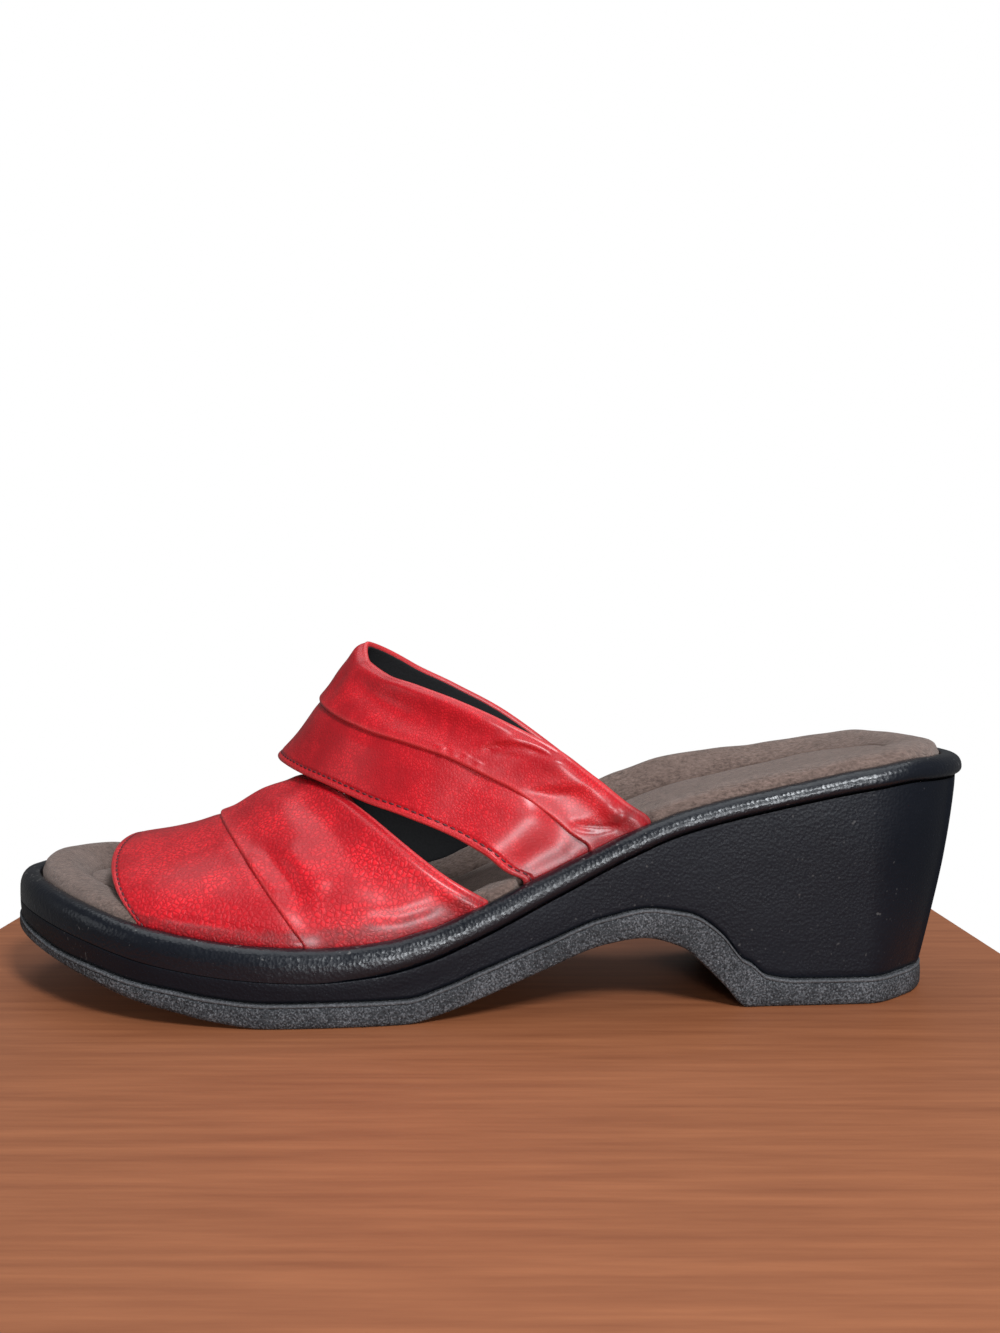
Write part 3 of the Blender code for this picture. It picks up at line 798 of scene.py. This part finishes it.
# Millimetres from a panel's edge at which its rows lie, closest where the stitches and the cord are
EDGE_STEPS = (0.0, 0.2, 0.4, 0.65, 0.95, 1.3, 1.6, 1.8, 2.0, 2.2, 2.4, 2.7, 3.1, 3.7, 4.5, 5.5)
EDGE_DISTANCES = np.array(EDGE_STEPS) * 1e-3
SQUEEZE_BELOW = 2.4
MIDDLE_ROWS = 30
EDGE_TURNS = 9
UNDERSIDE_STEP = 4
CREASE_STEPS = 24
CREASE_FADE = 4
SHOULDER_DEPTH = 0.35
SHOULDER_WIDTH = 2.2
EDGE_HIGHLIGHT_WIDTH = 0.0012
DARKENING_COLUMNS = 4.0


def inner_line(inset, side):
    """Function of x for the y of one side of the outline, moved in by an inset."""
    place, out = outline((1 - np.cos(np.linspace(0, np.pi, 1441))) / 2, side)
    inner = (place - out * inset)[::-1]
    return lambda x: np.interp(x, inner[:, 0], inner[:, 1])


edge_y = {side: inner_line(bed_edge, side) for side in (-1, 1)}


def strap_points(table, v):
    """Strap surface: a row for each share v from front edge to rear edge, foot to foot over the arch."""
    line = {name: smooth_line(table, name)(v)[:, None] for name in table[0][1:]}
    angle = np.linspace(0, np.pi, ARCH_COLUMNS)[None, :]
    crest_x = LENGTH * (0.5 - line["crest"])
    crest_y = line["side"] * BALL_WIDTH / 2
    crest = rim_z(crest_x) + INSTEP_HEIGHT * line["height"]
    foot = np.where(angle <= np.pi / 2, line["lateral"], line["medial"])
    foot_x = LENGTH * (0.5 - foot)
    across = abs(np.cos(angle)) ** (2 / line["round"])
    up = np.sin(angle).clip(0, 1) ** (2 / line["round"])
    climb = (1 - abs(1 - 2 * angle / np.pi)).clip(0, 1)
    forwards = 1 - (1 - climb ** line["leave"]) ** line["settle"]
    x = foot_x + (crest_x - foot_x) * forwards
    edge = np.where(angle <= np.pi / 2, edge_y[-1](x), edge_y[1](x))
    y = crest_y + (edge - crest_y) * across
    z = rim_z(x) + (crest - rim_z(x)) * up
    return np.stack([x, y, z], axis=-1)


def slump(v, share):
    """Lift of the rear strap, a smooth curve across its width through its edges and its seam."""
    front, seam, throat = (smooth_line(SLUMP, name)(share) for name in SLUMP[0][1:])
    return front * (1 - v) * (1 - 2 * v) + seam * 4 * v * (1 - v) + throat * v * (2 * v - 1)


def strap_sheets():
    """Fine grids of both straps, whose facing edges run together on the medial side."""
    v = np.linspace(0, 1, SHEET_ROWS)
    front = strap_points(FRONT_STRAP, v)
    rear = strap_points(REAR_STRAP, v)
    share = np.linspace(0, 1, ARCH_COLUMNS)
    k = np.clip((share - PART_AT) / (JOIN_AT - PART_AT), 0, 1)
    pull = (1 - np.sqrt(1 - k))[:, None]
    shared = (front[-1] + rear[0]) / 2
    to_front = (shared - front[-1]) * pull
    to_rear = (shared - rear[0]) * pull
    front = front + to_front[None] * (v ** 2)[:, None, None]
    rear = rear + to_rear[None] * ((1 - v) ** 2)[:, None, None]
    rear[:, :, 2] += slump(v[:, None], share[None])
    sheets = []
    for sheet in (front, rear):
        down = np.linspace(1, 0, FOOT_COLUMNS + 1)[:-1]
        feet = []
        for foot in (sheet[:, 0], sheet[:, -1]):
            low = deck_z(foot[:, 0]) + CLEARANCE
            z = foot[:, 2][:, None] + (low - foot[:, 2])[:, None] * down[None]
            xy = np.repeat(foot[:, None, :2], FOOT_COLUMNS, axis=1)
            feet.append(np.concatenate([xy, z[..., None]], axis=-1))
        sheets.append(np.concatenate([feet[0], sheet, feet[1][:, ::-1]], axis=1))
    return sheets


front_sheet, rear_sheet = strap_sheets()


def sheet_point(sheet, v, share):
    """Point of a strap at shares of its width and of its arch, for lines drawn on it."""
    row = v * (SHEET_ROWS - 1)
    col = FOOT_COLUMNS + share * (ARCH_COLUMNS - 1)
    i, j = int(np.clip(row, 0, SHEET_ROWS - 2)), int(np.clip(col, 0, sheet.shape[1] - 2))
    a, b = row - i, col - j
    low = sheet[i, j] * (1 - b) + sheet[i, j + 1] * b
    high = sheet[i + 1, j] * (1 - b) + sheet[i + 1, j + 1] * b
    return low * (1 - a) + high * a


def distance_to_line(points, line):
    """Distance of each point to a line of points, and the share of the line's length reached there."""
    flat = points.reshape(-1, 3)
    best = np.full(len(flat), 1.0)
    share = np.zeros(len(flat))
    length = np.linalg.norm(np.diff(line, axis=0), axis=1)
    start = np.concatenate([[0], np.cumsum(length)])
    for k in range(len(line) - 1):
        along = line[k + 1] - line[k]
        t = np.clip((flat - line[k]) @ along / (along @ along), 0, 1)
        away = np.linalg.norm(flat - line[k] - t[:, None] * along, axis=1)
        nearer = away < best
        best = np.where(nearer, away, best)
        share = np.where(nearer, (start[k] + t * length[k]) / start[-1], share)
    return best.reshape(points.shape[:-1]), share.reshape(points.shape[:-1])


def creased(points, sheet, creases):
    """Height of the listed creases with their soft shoulders, at each point of a panel."""
    height = np.zeros(points.shape[:-1])
    for path, half_width, rise in creases:
        ends = np.array(path)
        t = np.linspace(0, len(ends) - 1, CREASE_STEPS)
        v = np.interp(t, np.arange(len(ends)), ends[:, 0])
        share = np.interp(t, np.arange(len(ends)), ends[:, 1])
        line = np.array([sheet_point(sheet, a, b) for a, b in zip(v, share)])
        away, run = distance_to_line(points, line)
        fade = np.clip(np.minimum(run, 1 - run) * CREASE_FADE, 0, 1)
        shoulder = SHOULDER_DEPTH * np.exp(-(away / (SHOULDER_WIDTH * half_width)) ** 2)
        profile = np.exp(-(away / half_width) ** 2) - shoulder
        height += rise * profile * fade * fade * (3 - 2 * fade)
    return height


def panel(name, sheet, v_from, v_to, material, shape, radius, thickness, creases=()):
    """Closed leather panel on a strap sheet between two shares of its width.

    shape gives the height of the outer face for the distances to both edges, and radius the two
    edge radii. The edges are half round and the underside lies a thickness below the sheet. With the
    piece come the points and normals of its outer face and their distances from the front edge.
    """
    v_fine = np.linspace(v_from, v_to, SHEET_ROWS)
    row = v_fine * (SHEET_ROWS - 1)
    i = np.minimum(row.astype(int), SHEET_ROWS - 2)
    fine = sheet[i] * (1 - (row - i))[:, None, None] + sheet[i + 1] * (row - i)[:, None, None]
    run = np.concatenate([np.zeros((1, fine.shape[1])),
                          np.cumsum(np.linalg.norm(np.diff(fine, axis=0), axis=2), axis=0)])
    width = run[-1]
    squeeze = np.minimum(1, width / (SQUEEZE_BELOW * EDGE_DISTANCES[-1]))[None]
    front_edge = radius[0] + EDGE_DISTANCES[:, None] * squeeze
    rear_edge = width - radius[1] - EDGE_DISTANCES[:, None] * squeeze
    middle = np.linspace(0, 1, MIDDLE_ROWS)[1:-1, None]
    middle = front_edge[-1] + (rear_edge[-1] - front_edge[-1]) * middle
    place = np.concatenate([front_edge, middle, rear_edge[::-1]])
    points = np.empty((len(place), fine.shape[1], 3))
    for j in range(fine.shape[1]):
        for axis in range(3):
            points[:, j, axis] = np.interp(place[:, j], run[:, j], fine[:, j, axis])
    along_v = np.gradient(points, axis=0)
    along_u = np.gradient(points, axis=1)
    normal = np.cross(along_v, along_u)
    normal /= np.linalg.norm(normal, axis=2)[..., None]
    along_v /= np.linalg.norm(along_v, axis=2)[..., None]
    height = shape(place, width[None] - place) + creased(points, sheet, creases)
    outer = points + normal * height[..., None]
    inner = points - normal * thickness
    rows = [outer]
    for row_index, sign, edge_radius in ((-1, 1, radius[1]), (0, -1, radius[0])):
        top, low = outer[row_index], inner[row_index]
        centre = (top + low) / 2
        half = (top - low) / 2
        turns = np.linspace(0, np.pi, EDGE_TURNS + 2)[1:-1]
        turns = turns if sign > 0 else turns[::-1]
        turned = [centre + half * np.cos(a) + sign * along_v[row_index] * edge_radius * np.sin(a)
                  for a in turns]
        if sign > 0:
            rows += [np.array(turned), inner[::-1][::UNDERSIDE_STEP]]
        else:
            rows.append(np.array(turned))
    grid = np.concatenate(rows)
    count, columns = grid.shape[:2]
    faces = []
    for k in range(count):
        a, b = k * columns, (k + 1) % count * columns
        faces += [(a + j, b + j, b + j + 1, a + j + 1) for j in range(columns - 1)]
    faces.append([k * columns for k in range(count)][::-1])
    faces.append([k * columns + columns - 1 for k in range(count)])
    piece = mesh_piece(name, grid.reshape(-1, 3), faces, material, 60.0)
    # Painted highlight: full over the turned edges and the underside, and fading out from the front edge
    # across the outer face.
    edge_highlight = np.ones((count, columns))
    edge_highlight[:len(place)] = np.exp(-(place / EDGE_HIGHLIGHT_WIDTH) ** 2)
    # Darker colour towards each strap's foot, where it goes down between roll and footbed.
    foot = np.abs(np.arange(columns) - FOOT_COLUMNS)
    foot = np.minimum(foot, foot[::-1])
    darkening = np.exp(-(np.maximum(foot - FOOT_COLUMNS, 0) / DARKENING_COLUMNS) ** 2)
    set_amount(piece, "edge_highlight", edge_highlight)
    set_amount(piece, "darkening", np.tile(darkening, count))
    return piece, (outer, normal, place)


def shaken(place, size):
    """Coordinates pushed about by noise, so that cells of about a size lose their straight edges."""
    push = fed("ShaderNodeTexNoise", place, "Vector", Scale=1.3 / size, Detail=2.0)
    moved = fed("ShaderNodeVectorMath", push.outputs["Color"], 0)
    moved.operation = "MULTIPLY_ADD"
    moved.inputs[1].default_value = (0.7 * size,) * 3
    link(place, moved, 2)
    return moved.outputs["Vector"]


def red_leather(name, grain, depth, clouds, tone):
    """Red aniline leather: pebbled grain with dark valleys, cloudy dye and a waxed surface, and a painted
    highlight of paler pink along the edges.

    clouds is the size of the clouds, and tone darkens or lightens the dye as a whole.
    """
    material, shader = new_material(name)
    place = object_place(shader)
    pebbles = ranged(cells_of(shaken(place, grain), grain, "DISTANCE_TO_EDGE"), 0.0, 0.28)
    fine = noise_of(place, grain * 0.55, 3.0, 0.6)
    mottle = noise_of(place, 0.0032, 3.0, 0.6)
    dye = sum_of(noise_of(place, clouds), mottle, 0.45)
    deep = (0.44 * tone, 0.0045 * tone, 0.0115 * tone)
    bright = (0.76 * tone, 0.013 * tone, 0.023 * tone)
    grained = sum_of(pebbles, fine, 0.8)
    dyed = mixed(ranged(dye, 0.58, 0.88), deep, bright)
    shaded = mixed(ranged(grained, 0.40, 1.15), (0.38, 0.0038, 0.0095), dyed)
    # Painted highlight: paler pink along the panel's edges, where the stored edge highlight amount says so.
    edge_lit = mixed(ranged(amount_of(shader, "edge_highlight"), 0.0, 1.0, 0.0, 0.35), shaded, (0.72, 0.085, 0.085))
    # Darker in mottled spots and towards the strap's foot, where it goes down between roll and footbed.
    mottle_and_foot_darkening = sum_of(mottle, amount_of(shader, "darkening"), 0.45)
    link(mixed(ranged(mottle_and_foot_darkening, 0.68, 1.0, 0.0, 0.6), edge_lit, (0.10, 0.010, 0.011)), shader, "Base Color")
    link(ranged(dye, 0.5, 0.95, 0.50, 0.38), shader, "Roughness")
    shader.inputs["Specular IOR Level"].default_value = 0.16
    shader.inputs["Coat Weight"].default_value = 0.6
    shader.inputs["Coat Roughness"].default_value = 0.31
    bumped(shader, grained, depth, 0.6)
    return material


grained_red = red_leather("grained red leather", 0.00125, 0.00024, 0.011, 1.0)
smooth_red = red_leather("smooth red leather", 0.0009, 0.00011, 0.013, 0.82)


# Creases given one by one, each a path of (share of the strap's width, share of its arch), a half width
# and a height in metres; a negative height is a trough
TOE_CREASES = (
    (((0.03, 0.034), (0.14, 0.056), (0.25, 0.056), (0.36, 0.050), (0.50, 0.032)), 0.0011, -0.0005),
    (((-0.05, 0.002), (0.10, 0.012), (0.28, 0.014), (0.60, 0.002)), 0.0024, 0.0009),
    (((0.06, 0.16), (0.22, 0.20), (0.45, 0.19)), 0.0060, 0.00035),
    (((0.12, 0.30), (0.30, 0.34), (0.48, 0.35)), 0.0060, -0.00035),
    (((0.10, 0.62), (0.30, 0.66), (0.46, 0.72)), 0.0050, -0.0004),
    (((0.08, 0.86), (0.25, 0.90), (0.45, 0.93)), 0.0020, -0.0005),
)
VAMP_CREASES = (
    (((0.52, 0.27), (0.53, 0.19), (0.54, 0.13)), 0.0024, 0.0008),
    (((0.575, 0.30), (0.585, 0.19), (0.58, 0.08)), 0.0026, -0.0007),
    (((0.64, 0.27), (0.655, 0.19), (0.66, 0.12)), 0.0038, 0.0010),
    (((0.80, 0.42), (0.82, 0.32), (0.81, 0.20), (0.85, 0.08)), 0.0044, -0.0011),
    (((0.97, 0.47), (0.84, 0.44), (0.70, 0.43)), 0.0026, -0.00035),
    (((0.95, 0.56), (0.80, 0.58), (0.66, 0.57)), 0.0030, -0.0004),
    (((0.70, 0.07), (0.80, 0.05), (0.92, 0.05)), 0.0016, -0.00035),
    (((0.60, 0.72), (0.74, 0.76), (0.90, 0.80)), 0.0036, -0.0005),
    (((0.60, 0.88), (0.75, 0.91), (0.92, 0.93)), 0.0018, -0.0005),
)
INSTEP_CREASES = (
    (((-0.10, 0.096), (0.25, 0.106), (0.62, 0.118)), 0.0065, 0.0017),
    (((-0.05, 0.170), (0.25, 0.175), (0.60, 0.190)), 0.0055, -0.0007),
    (((0.06, 0.30), (0.25, 0.32), (0.50, 0.34)), 0.0070, 0.0003),
    (((0.04, 0.045), (0.25, 0.050), (0.48, 0.045)), 0.0034, -0.0004),
    (((0.10, 0.62), (0.26, 0.64), (0.46, 0.63)), 0.0045, -0.0005),
    (((0.12, 0.84), (0.30, 0.86), (0.48, 0.88)), 0.0022, -0.0005),
)
THROAT_CREASES = (
    (((0.82, 0.46), (0.74, 0.38), (0.69, 0.31), (0.69, 0.26), (0.73, 0.21)), 0.0044, -0.0017),
    (((0.92, 0.42), (0.945, 0.34), (0.94, 0.26), (0.92, 0.18)), 0.0028, 0.0007),
    (((0.60, 0.206), (0.73, 0.196), (0.80, 0.185), (0.90, 0.150)), 0.0008, -0.0010),
    (((0.62, 0.196), (0.73, 0.176), (0.83, 0.164), (0.91, 0.143)), 0.0006, -0.0007),
    (((0.64, 0.216), (0.78, 0.204), (0.88, 0.176)), 0.0011, 0.0006),
    (((0.505, 0.236), (0.575, 0.246)), 0.0008, 0.0008),
    (((0.505, 0.222), (0.59, 0.232)), 0.0008, 0.0008),
    (((0.505, 0.208), (0.59, 0.217)), 0.0008, 0.0007),
    (((0.505, 0.194), (0.58, 0.201)), 0.0007, 0.0006),
    (((0.93, 0.150), (0.80, 0.130), (0.66, 0.110)), 0.0095, 0.0018),
    (((0.58, 0.058), (0.77, 0.048), (0.98, 0.054)), 0.0014, -0.0004),
    (((0.82, 0.066), (0.87, 0.026)), 0.0024, 0.0006),
    (((0.54, 0.074), (0.66, 0.040), (0.80, 0.018)), 0.0010, -0.0007),
    (((0.56, 0.44), (0.66, 0.46), (0.80, 0.47)), 0.0030, -0.0004),
    (((0.60, 0.66), (0.74, 0.70), (0.90, 0.72)), 0.0045, -0.0007),
    (((0.56, 0.78), (0.70, 0.80), (0.88, 0.80)), 0.0012, -0.0005),
    (((0.56, 0.83), (0.72, 0.84), (0.90, 0.85)), 0.0012, -0.0004),
    (((0.60, 0.93), (0.78, 0.94), (0.94, 0.93)), 0.0014, -0.0005),
)


def bump_line(distance, centre, half_width, rise):
    """Soft ridge or groove that follows an edge at a distance."""
    return rise * np.exp(-((distance - centre) / half_width) ** 2)


# Relief of the panels' outer faces in metres: how far each part rises or drops, and how wide it is
STITCH_INSET = 0.0021
STITCH_DIP = 0.00028
STITCH_DIP_WIDTH = 0.0005
CUT_EDGE_DROP = 0.0005
CUT_EDGE_WIDTH = 0.0012
UNDERLAP_DROP = 0.0006
UNDERLAP_DROP_WIDTH = 0.006
FOLD_LEVEL = 0.00015
FOLD_RISE = 0.0006
FOLD_WIDTH = 0.0035
FOLD_EDGE_DROP = 0.0004
FOLD_EDGE_WIDTH = 0.0006
CORD_INSET = 0.0036
CORD_RISE = 0.0007
CORD_WIDTH = 0.0028
CORD_TURN_DROP = 0.0010
CORD_TURN_WIDTH = 0.0034


def edge_turn(distance, drop, width):
    """Soft drop towards an edge over a width."""
    return -drop * np.clip(1 - distance / width, 0, 1) ** 2


def stitched_front(to_front, to_rear):
    """Outer face of a front panel: pressed down along its stitches and under the panel behind it."""
    row = bump_line(to_front, STITCH_INSET, STITCH_DIP_WIDTH, -STITCH_DIP)
    under = -UNDERLAP_DROP * np.clip(1 - to_rear / UNDERLAP_DROP_WIDTH, 0, 1)
    return edge_turn(to_front, CUT_EDGE_DROP, CUT_EDGE_WIDTH) + row + under


def folded_rear(to_front, to_rear):
    """Outer face of a rear panel: a doubled fold in front and an edge turned over a cord behind."""
    fold = bump_line(to_front, 0.0, FOLD_WIDTH, FOLD_RISE) + FOLD_LEVEL
    edge = edge_turn(to_front, FOLD_EDGE_DROP, FOLD_EDGE_WIDTH)
    swell = bump_line(to_rear, CORD_INSET, CORD_WIDTH, CORD_RISE)
    return fold + edge + swell + edge_turn(to_rear, CORD_TURN_DROP, CORD_TURN_WIDTH)


OVERLAP_AT = 0.5
UNDERLAP = 0.05
PANEL_THICKNESS = 0.0016
FRONT_EDGE_RADIUS = 0.0008
CORDED_EDGE_RADIUS = 0.0011

toe_panel, toe_face = panel(
    "toe_panel", front_sheet, 0.0, OVERLAP_AT + UNDERLAP, grained_red, stitched_front,
    (FRONT_EDGE_RADIUS, FRONT_EDGE_RADIUS), PANEL_THICKNESS, TOE_CREASES)
vamp_panel, _ = panel(
    "vamp_panel", front_sheet, OVERLAP_AT, 1.0, grained_red, folded_rear,
    (FRONT_EDGE_RADIUS, CORDED_EDGE_RADIUS), PANEL_THICKNESS, VAMP_CREASES)
instep_panel, instep_face = panel(
    "instep_panel", rear_sheet, 0.0, OVERLAP_AT + UNDERLAP, smooth_red, stitched_front,
    (FRONT_EDGE_RADIUS, FRONT_EDGE_RADIUS), PANEL_THICKNESS, INSTEP_CREASES)
throat_panel, _ = panel(
    "throat_panel", rear_sheet, OVERLAP_AT, 1.0, smooth_red, folded_rear,
    (FRONT_EDGE_RADIUS, CORDED_EDGE_RADIUS), PANEL_THICKNESS, THROAT_CREASES)
for strap_panel in (toe_panel, vamp_panel, instep_panel, throat_panel):
    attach(strap_panel, "root")
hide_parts("upper")


# Lining: thin black leather glued inside each strap and trimmed just short of its edges. It shows
# only where the shoe is open: at the throat, at the toe and in the cut-out.

LINING_OUTSIDE = -0.00145
LINING_DEPTH = 0.0021
LINING_SHORT = 0.0011
LINING_EDGE_RADIUS = 0.0003


def black_lining():
    """Matt black lining leather with a fine flat grain."""
    material, shader = new_material("black lining")
    fine = noise_of(object_place(shader), 0.0007, 3.0, 0.6)
    link(mixed(fine, (0.004, 0.004, 0.0045), (0.012, 0.012, 0.013)), shader, "Base Color")
    shader.inputs["Roughness"].default_value = 0.8
    shader.inputs["Specular IOR Level"].default_value = 0.3
    bumped(shader, fine, 0.0002, 0.5)
    return material


lining_black = black_lining()
for lining_name, sheet in (("front_lining", front_sheet), ("rear_lining", rear_sheet)):
    sheet_width = np.linalg.norm(np.diff(sheet, axis=0), axis=2).sum(axis=0).mean()
    short = LINING_SHORT / sheet_width
    lining = panel(lining_name, sheet, short, 1 - short, lining_black,
                   lambda to_front, to_rear: np.full(to_front.shape, LINING_OUTSIDE),
                   (LINING_EDGE_RADIUS, LINING_EDGE_RADIUS), LINING_DEPTH)[0]
    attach(lining, "root")


# Stitches: waxed dark maroon thread that holds the front edge of each strap down. Each stitch is
# one rounded bar that lies along the leather.

STITCH_PITCH = 0.0022
STITCH_LENGTH = 0.00165
STITCH_RADIUS = 0.00030
STITCH_SEGMENTS = 10
STITCH_RINGS = 7


def stitch_tree(material):
    """Node tree that lays one rounded stitch per pitch along a line with its own normals."""
    tree = bpy.data.node_groups.new("stitch row", "GeometryNodeTree")
    tree.interface.new_socket("Line", in_out="INPUT", socket_type="NodeSocketGeometry")
    for label in ("Pitch", "Length", "Radius"):
        tree.interface.new_socket(label, in_out="INPUT", socket_type="NodeSocketFloat")
    tree.interface.new_socket("Stitches", in_out="OUTPUT", socket_type="NodeSocketGeometry")
    add = tree.nodes.new
    source = add("NodeGroupInput")
    curve = fed("GeometryNodeMeshToCurve", source.outputs["Line"], "Mesh")
    even = fed("GeometryNodeResampleCurve", curve.outputs["Curve"], "Curve")
    even.mode = "LENGTH"
    link(source.outputs["Pitch"], even, "Length")
    bar = add("GeometryNodeMeshUVSphere")
    bar.inputs["Segments"].default_value = STITCH_SEGMENTS
    bar.inputs["Rings"].default_value = STITCH_RINGS
    bar.inputs["Radius"].default_value = 1.0
    half = fed("ShaderNodeMath", source.outputs["Length"], 0)
    half.operation = "MULTIPLY"
    half.inputs[1].default_value = 0.5
    size = fed("ShaderNodeCombineXYZ", half.outputs[0], "X")
    link(source.outputs["Radius"], size, "Y")
    link(source.outputs["Radius"], size, "Z")
    tangent = add("GeometryNodeInputTangent")
    normal = add("GeometryNodeInputNamedAttribute")
    normal.data_type = "FLOAT_VECTOR"
    normal.inputs["Name"].default_value = "up"
    turn = fed("FunctionNodeAxesToRotation", tangent.outputs["Tangent"], "Primary Axis")
    turn.primary_axis = "X"
    turn.secondary_axis = "Z"
    link(normal.outputs["Attribute"], turn, "Secondary Axis")
    copies = fed("GeometryNodeInstanceOnPoints", even.outputs["Curve"], "Points")
    link(bar.outputs["Mesh"], copies, "Instance")
    link(turn.outputs["Rotation"], copies, "Rotation")
    link(size.outputs["Vector"], copies, "Scale")
    real = fed("GeometryNodeRealizeInstances", copies.outputs["Instances"], "Geometry")
    smooth = fed("GeometryNodeSetShadeSmooth", real.outputs["Geometry"], "Geometry")
    dress = fed("GeometryNodeSetMaterial", smooth.outputs["Geometry"], "Geometry", Material=material)
    link(dress.outputs["Geometry"], add("NodeGroupOutput"), "Stitches")
    return tree


def thread():
    """Waxed dark maroon thread."""
    material, shader = new_material("maroon thread")
    twist = noise_of(object_place(shader), 0.0003, 2.0)
    link(mixed(twist, (0.050, 0.003, 0.007), (0.120, 0.009, 0.015)), shader, "Base Color")
    shader.inputs["Roughness"].default_value = 0.55
    bumped(shader, twist, 0.0001, 0.5)
    return material


stitching = stitch_tree(thread())


def stitch_row(name, panel_face, inset):
    """Row of stitches on a panel's outer face at an inset from its front edge."""
    face, normal, place = panel_face
    columns = face.shape[1]
    path, up = [], []
    for j in range(FOOT_COLUMNS - 2, columns - FOOT_COLUMNS + 2):
        path.append([np.interp(inset, place[:, j], face[:, j, axis]) for axis in range(3)])
        up.append([np.interp(inset, place[:, j], normal[:, j, axis]) for axis in range(3)])
    mesh = bpy.data.meshes.new(name)
    mesh.from_pydata(path, [(k, k + 1) for k in range(len(path) - 1)], [])
    mesh.attributes.new("up", "FLOAT_VECTOR", "POINT").data.foreach_set("vector", np.array(up).ravel())
    line = new_object(name, mesh)
    modifier = line.modifiers.new("stitches", "NODES")
    modifier.node_group = stitching
    sizes = {"Pitch": STITCH_PITCH, "Length": STITCH_LENGTH, "Radius": STITCH_RADIUS}
    for item in stitching.interface.items_tree:
        if item.in_out == "INPUT" and item.name in sizes:
            modifier[item.identifier] = sizes[item.name]
    graph = bpy.context.evaluated_depsgraph_get()
    made = bpy.data.meshes.new_from_object(line.evaluated_get(graph))
    bpy.data.objects.remove(line)
    piece = new_object(name, made)
    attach(piece, "root")


stitch_row("toe_stitches", toe_face, STITCH_INSET)
stitch_row("instep_stitches", instep_face, STITCH_INSET)


# Table: a varnished brown wooden top in front of a white wall, on which the shoe stands. Soft
# daylight comes from behind the camera and from its right.

TABLE = ((-0.157, -0.60), (0.152, -0.60), (0.152, 0.09), (-0.157, 0.09))
WORLD_LIGHT = 0.13
WHITE_WALL = 0.87


def wood():
    """Varnished brown wood with fine lines along its grain."""
    material, shader = new_material("brown wood")
    lines = noise_of(object_place(shader, (0.06, 1.0, 1.0)), 0.004, 5.0, 0.65)
    colour = mixed(ranged(lines, 0.3, 0.7), (0.24, 0.075, 0.028), (0.36, 0.125, 0.050))
    link(colour, shader, "Base Color")
    shader.inputs["Roughness"].default_value = 0.5
    return material


table_top = mesh_piece("table_top", [(x, y, 0.0) for x, y in TABLE], [(0, 1, 2, 3)], wood())

world = bpy.data.worlds.new("studio")
world.use_nodes = True
background = world.node_tree.nodes["Background"]
background.inputs["Color"].default_value = (1.0, 1.0, 1.0, 1.0)
seen = world.node_tree.nodes.new("ShaderNodeLightPath")
strength = fed("ShaderNodeMath", seen.outputs["Is Camera Ray"], 0)
strength.operation = "MULTIPLY_ADD"
strength.inputs[1].default_value = WHITE_WALL
strength.inputs[2].default_value = WORLD_LIGHT
link(strength.outputs[0], background, "Strength")
bpy.context.scene.world = world

# Each light: name, place, what it is turned towards, width and height in metres and power in watts
LIGHTS = (
    ("overhead", (0.0, 0.25, 1.2), (0.0, 0.0, 0.0), 1.2, 1.2, 7.5),
    ("window", (0.28, -0.70, 0.76), (0.0, 0.0, 0.04), 0.18, 0.26, 9.5),
    ("low window", (0.30, -1.1, 0.17), (0.0, 0.0, 0.04), 0.26, 0.20, 7.0),
    ("left fill", (-0.9, -0.25, 0.35), (0.0, 0.0, 0.04), 0.4, 0.4, 0.5),
)
DAYLIGHT = (0.92, 0.96, 1.0)
for light_name, place, target, width, height, power in LIGHTS:
    lamp = bpy.data.lights.new(light_name, "AREA")
    lamp.shape = "RECTANGLE"
    lamp.size = width
    lamp.size_y = height
    lamp.energy = power
    lamp.color = DAYLIGHT
    light = new_object(light_name, lamp)
    light.location = place
    light.rotation_euler = (Vector(target) - Vector(place)).to_track_quat("-Z", "Y").to_euler()

bpy.context.scene.view_settings.view_transform = "Standard"


# Camera: held level, a third of a metre from the shoe's outer side. Its picture is shifted, so that
# the horizon lies a little above the middle.

IMAGE_HEIGHT = 1333
FOCAL_PIXELS = 1229
HORIZON_ROW = 630
SENSOR = 36.0

lens = bpy.data.cameras.new("camera")
lens.sensor_width = SENSOR
lens.lens = SENSOR * FOCAL_PIXELS / IMAGE_HEIGHT
lens.shift_y = (HORIZON_ROW - IMAGE_HEIGHT / 2) / IMAGE_HEIGHT
lens.clip_start = 0.01
camera = new_object("camera", lens)
camera.location = (0.0036, -0.341, 0.096)
camera.rotation_euler = (np.pi / 2, 0.0, 0.0)
bpy.context.scene.camera = camera
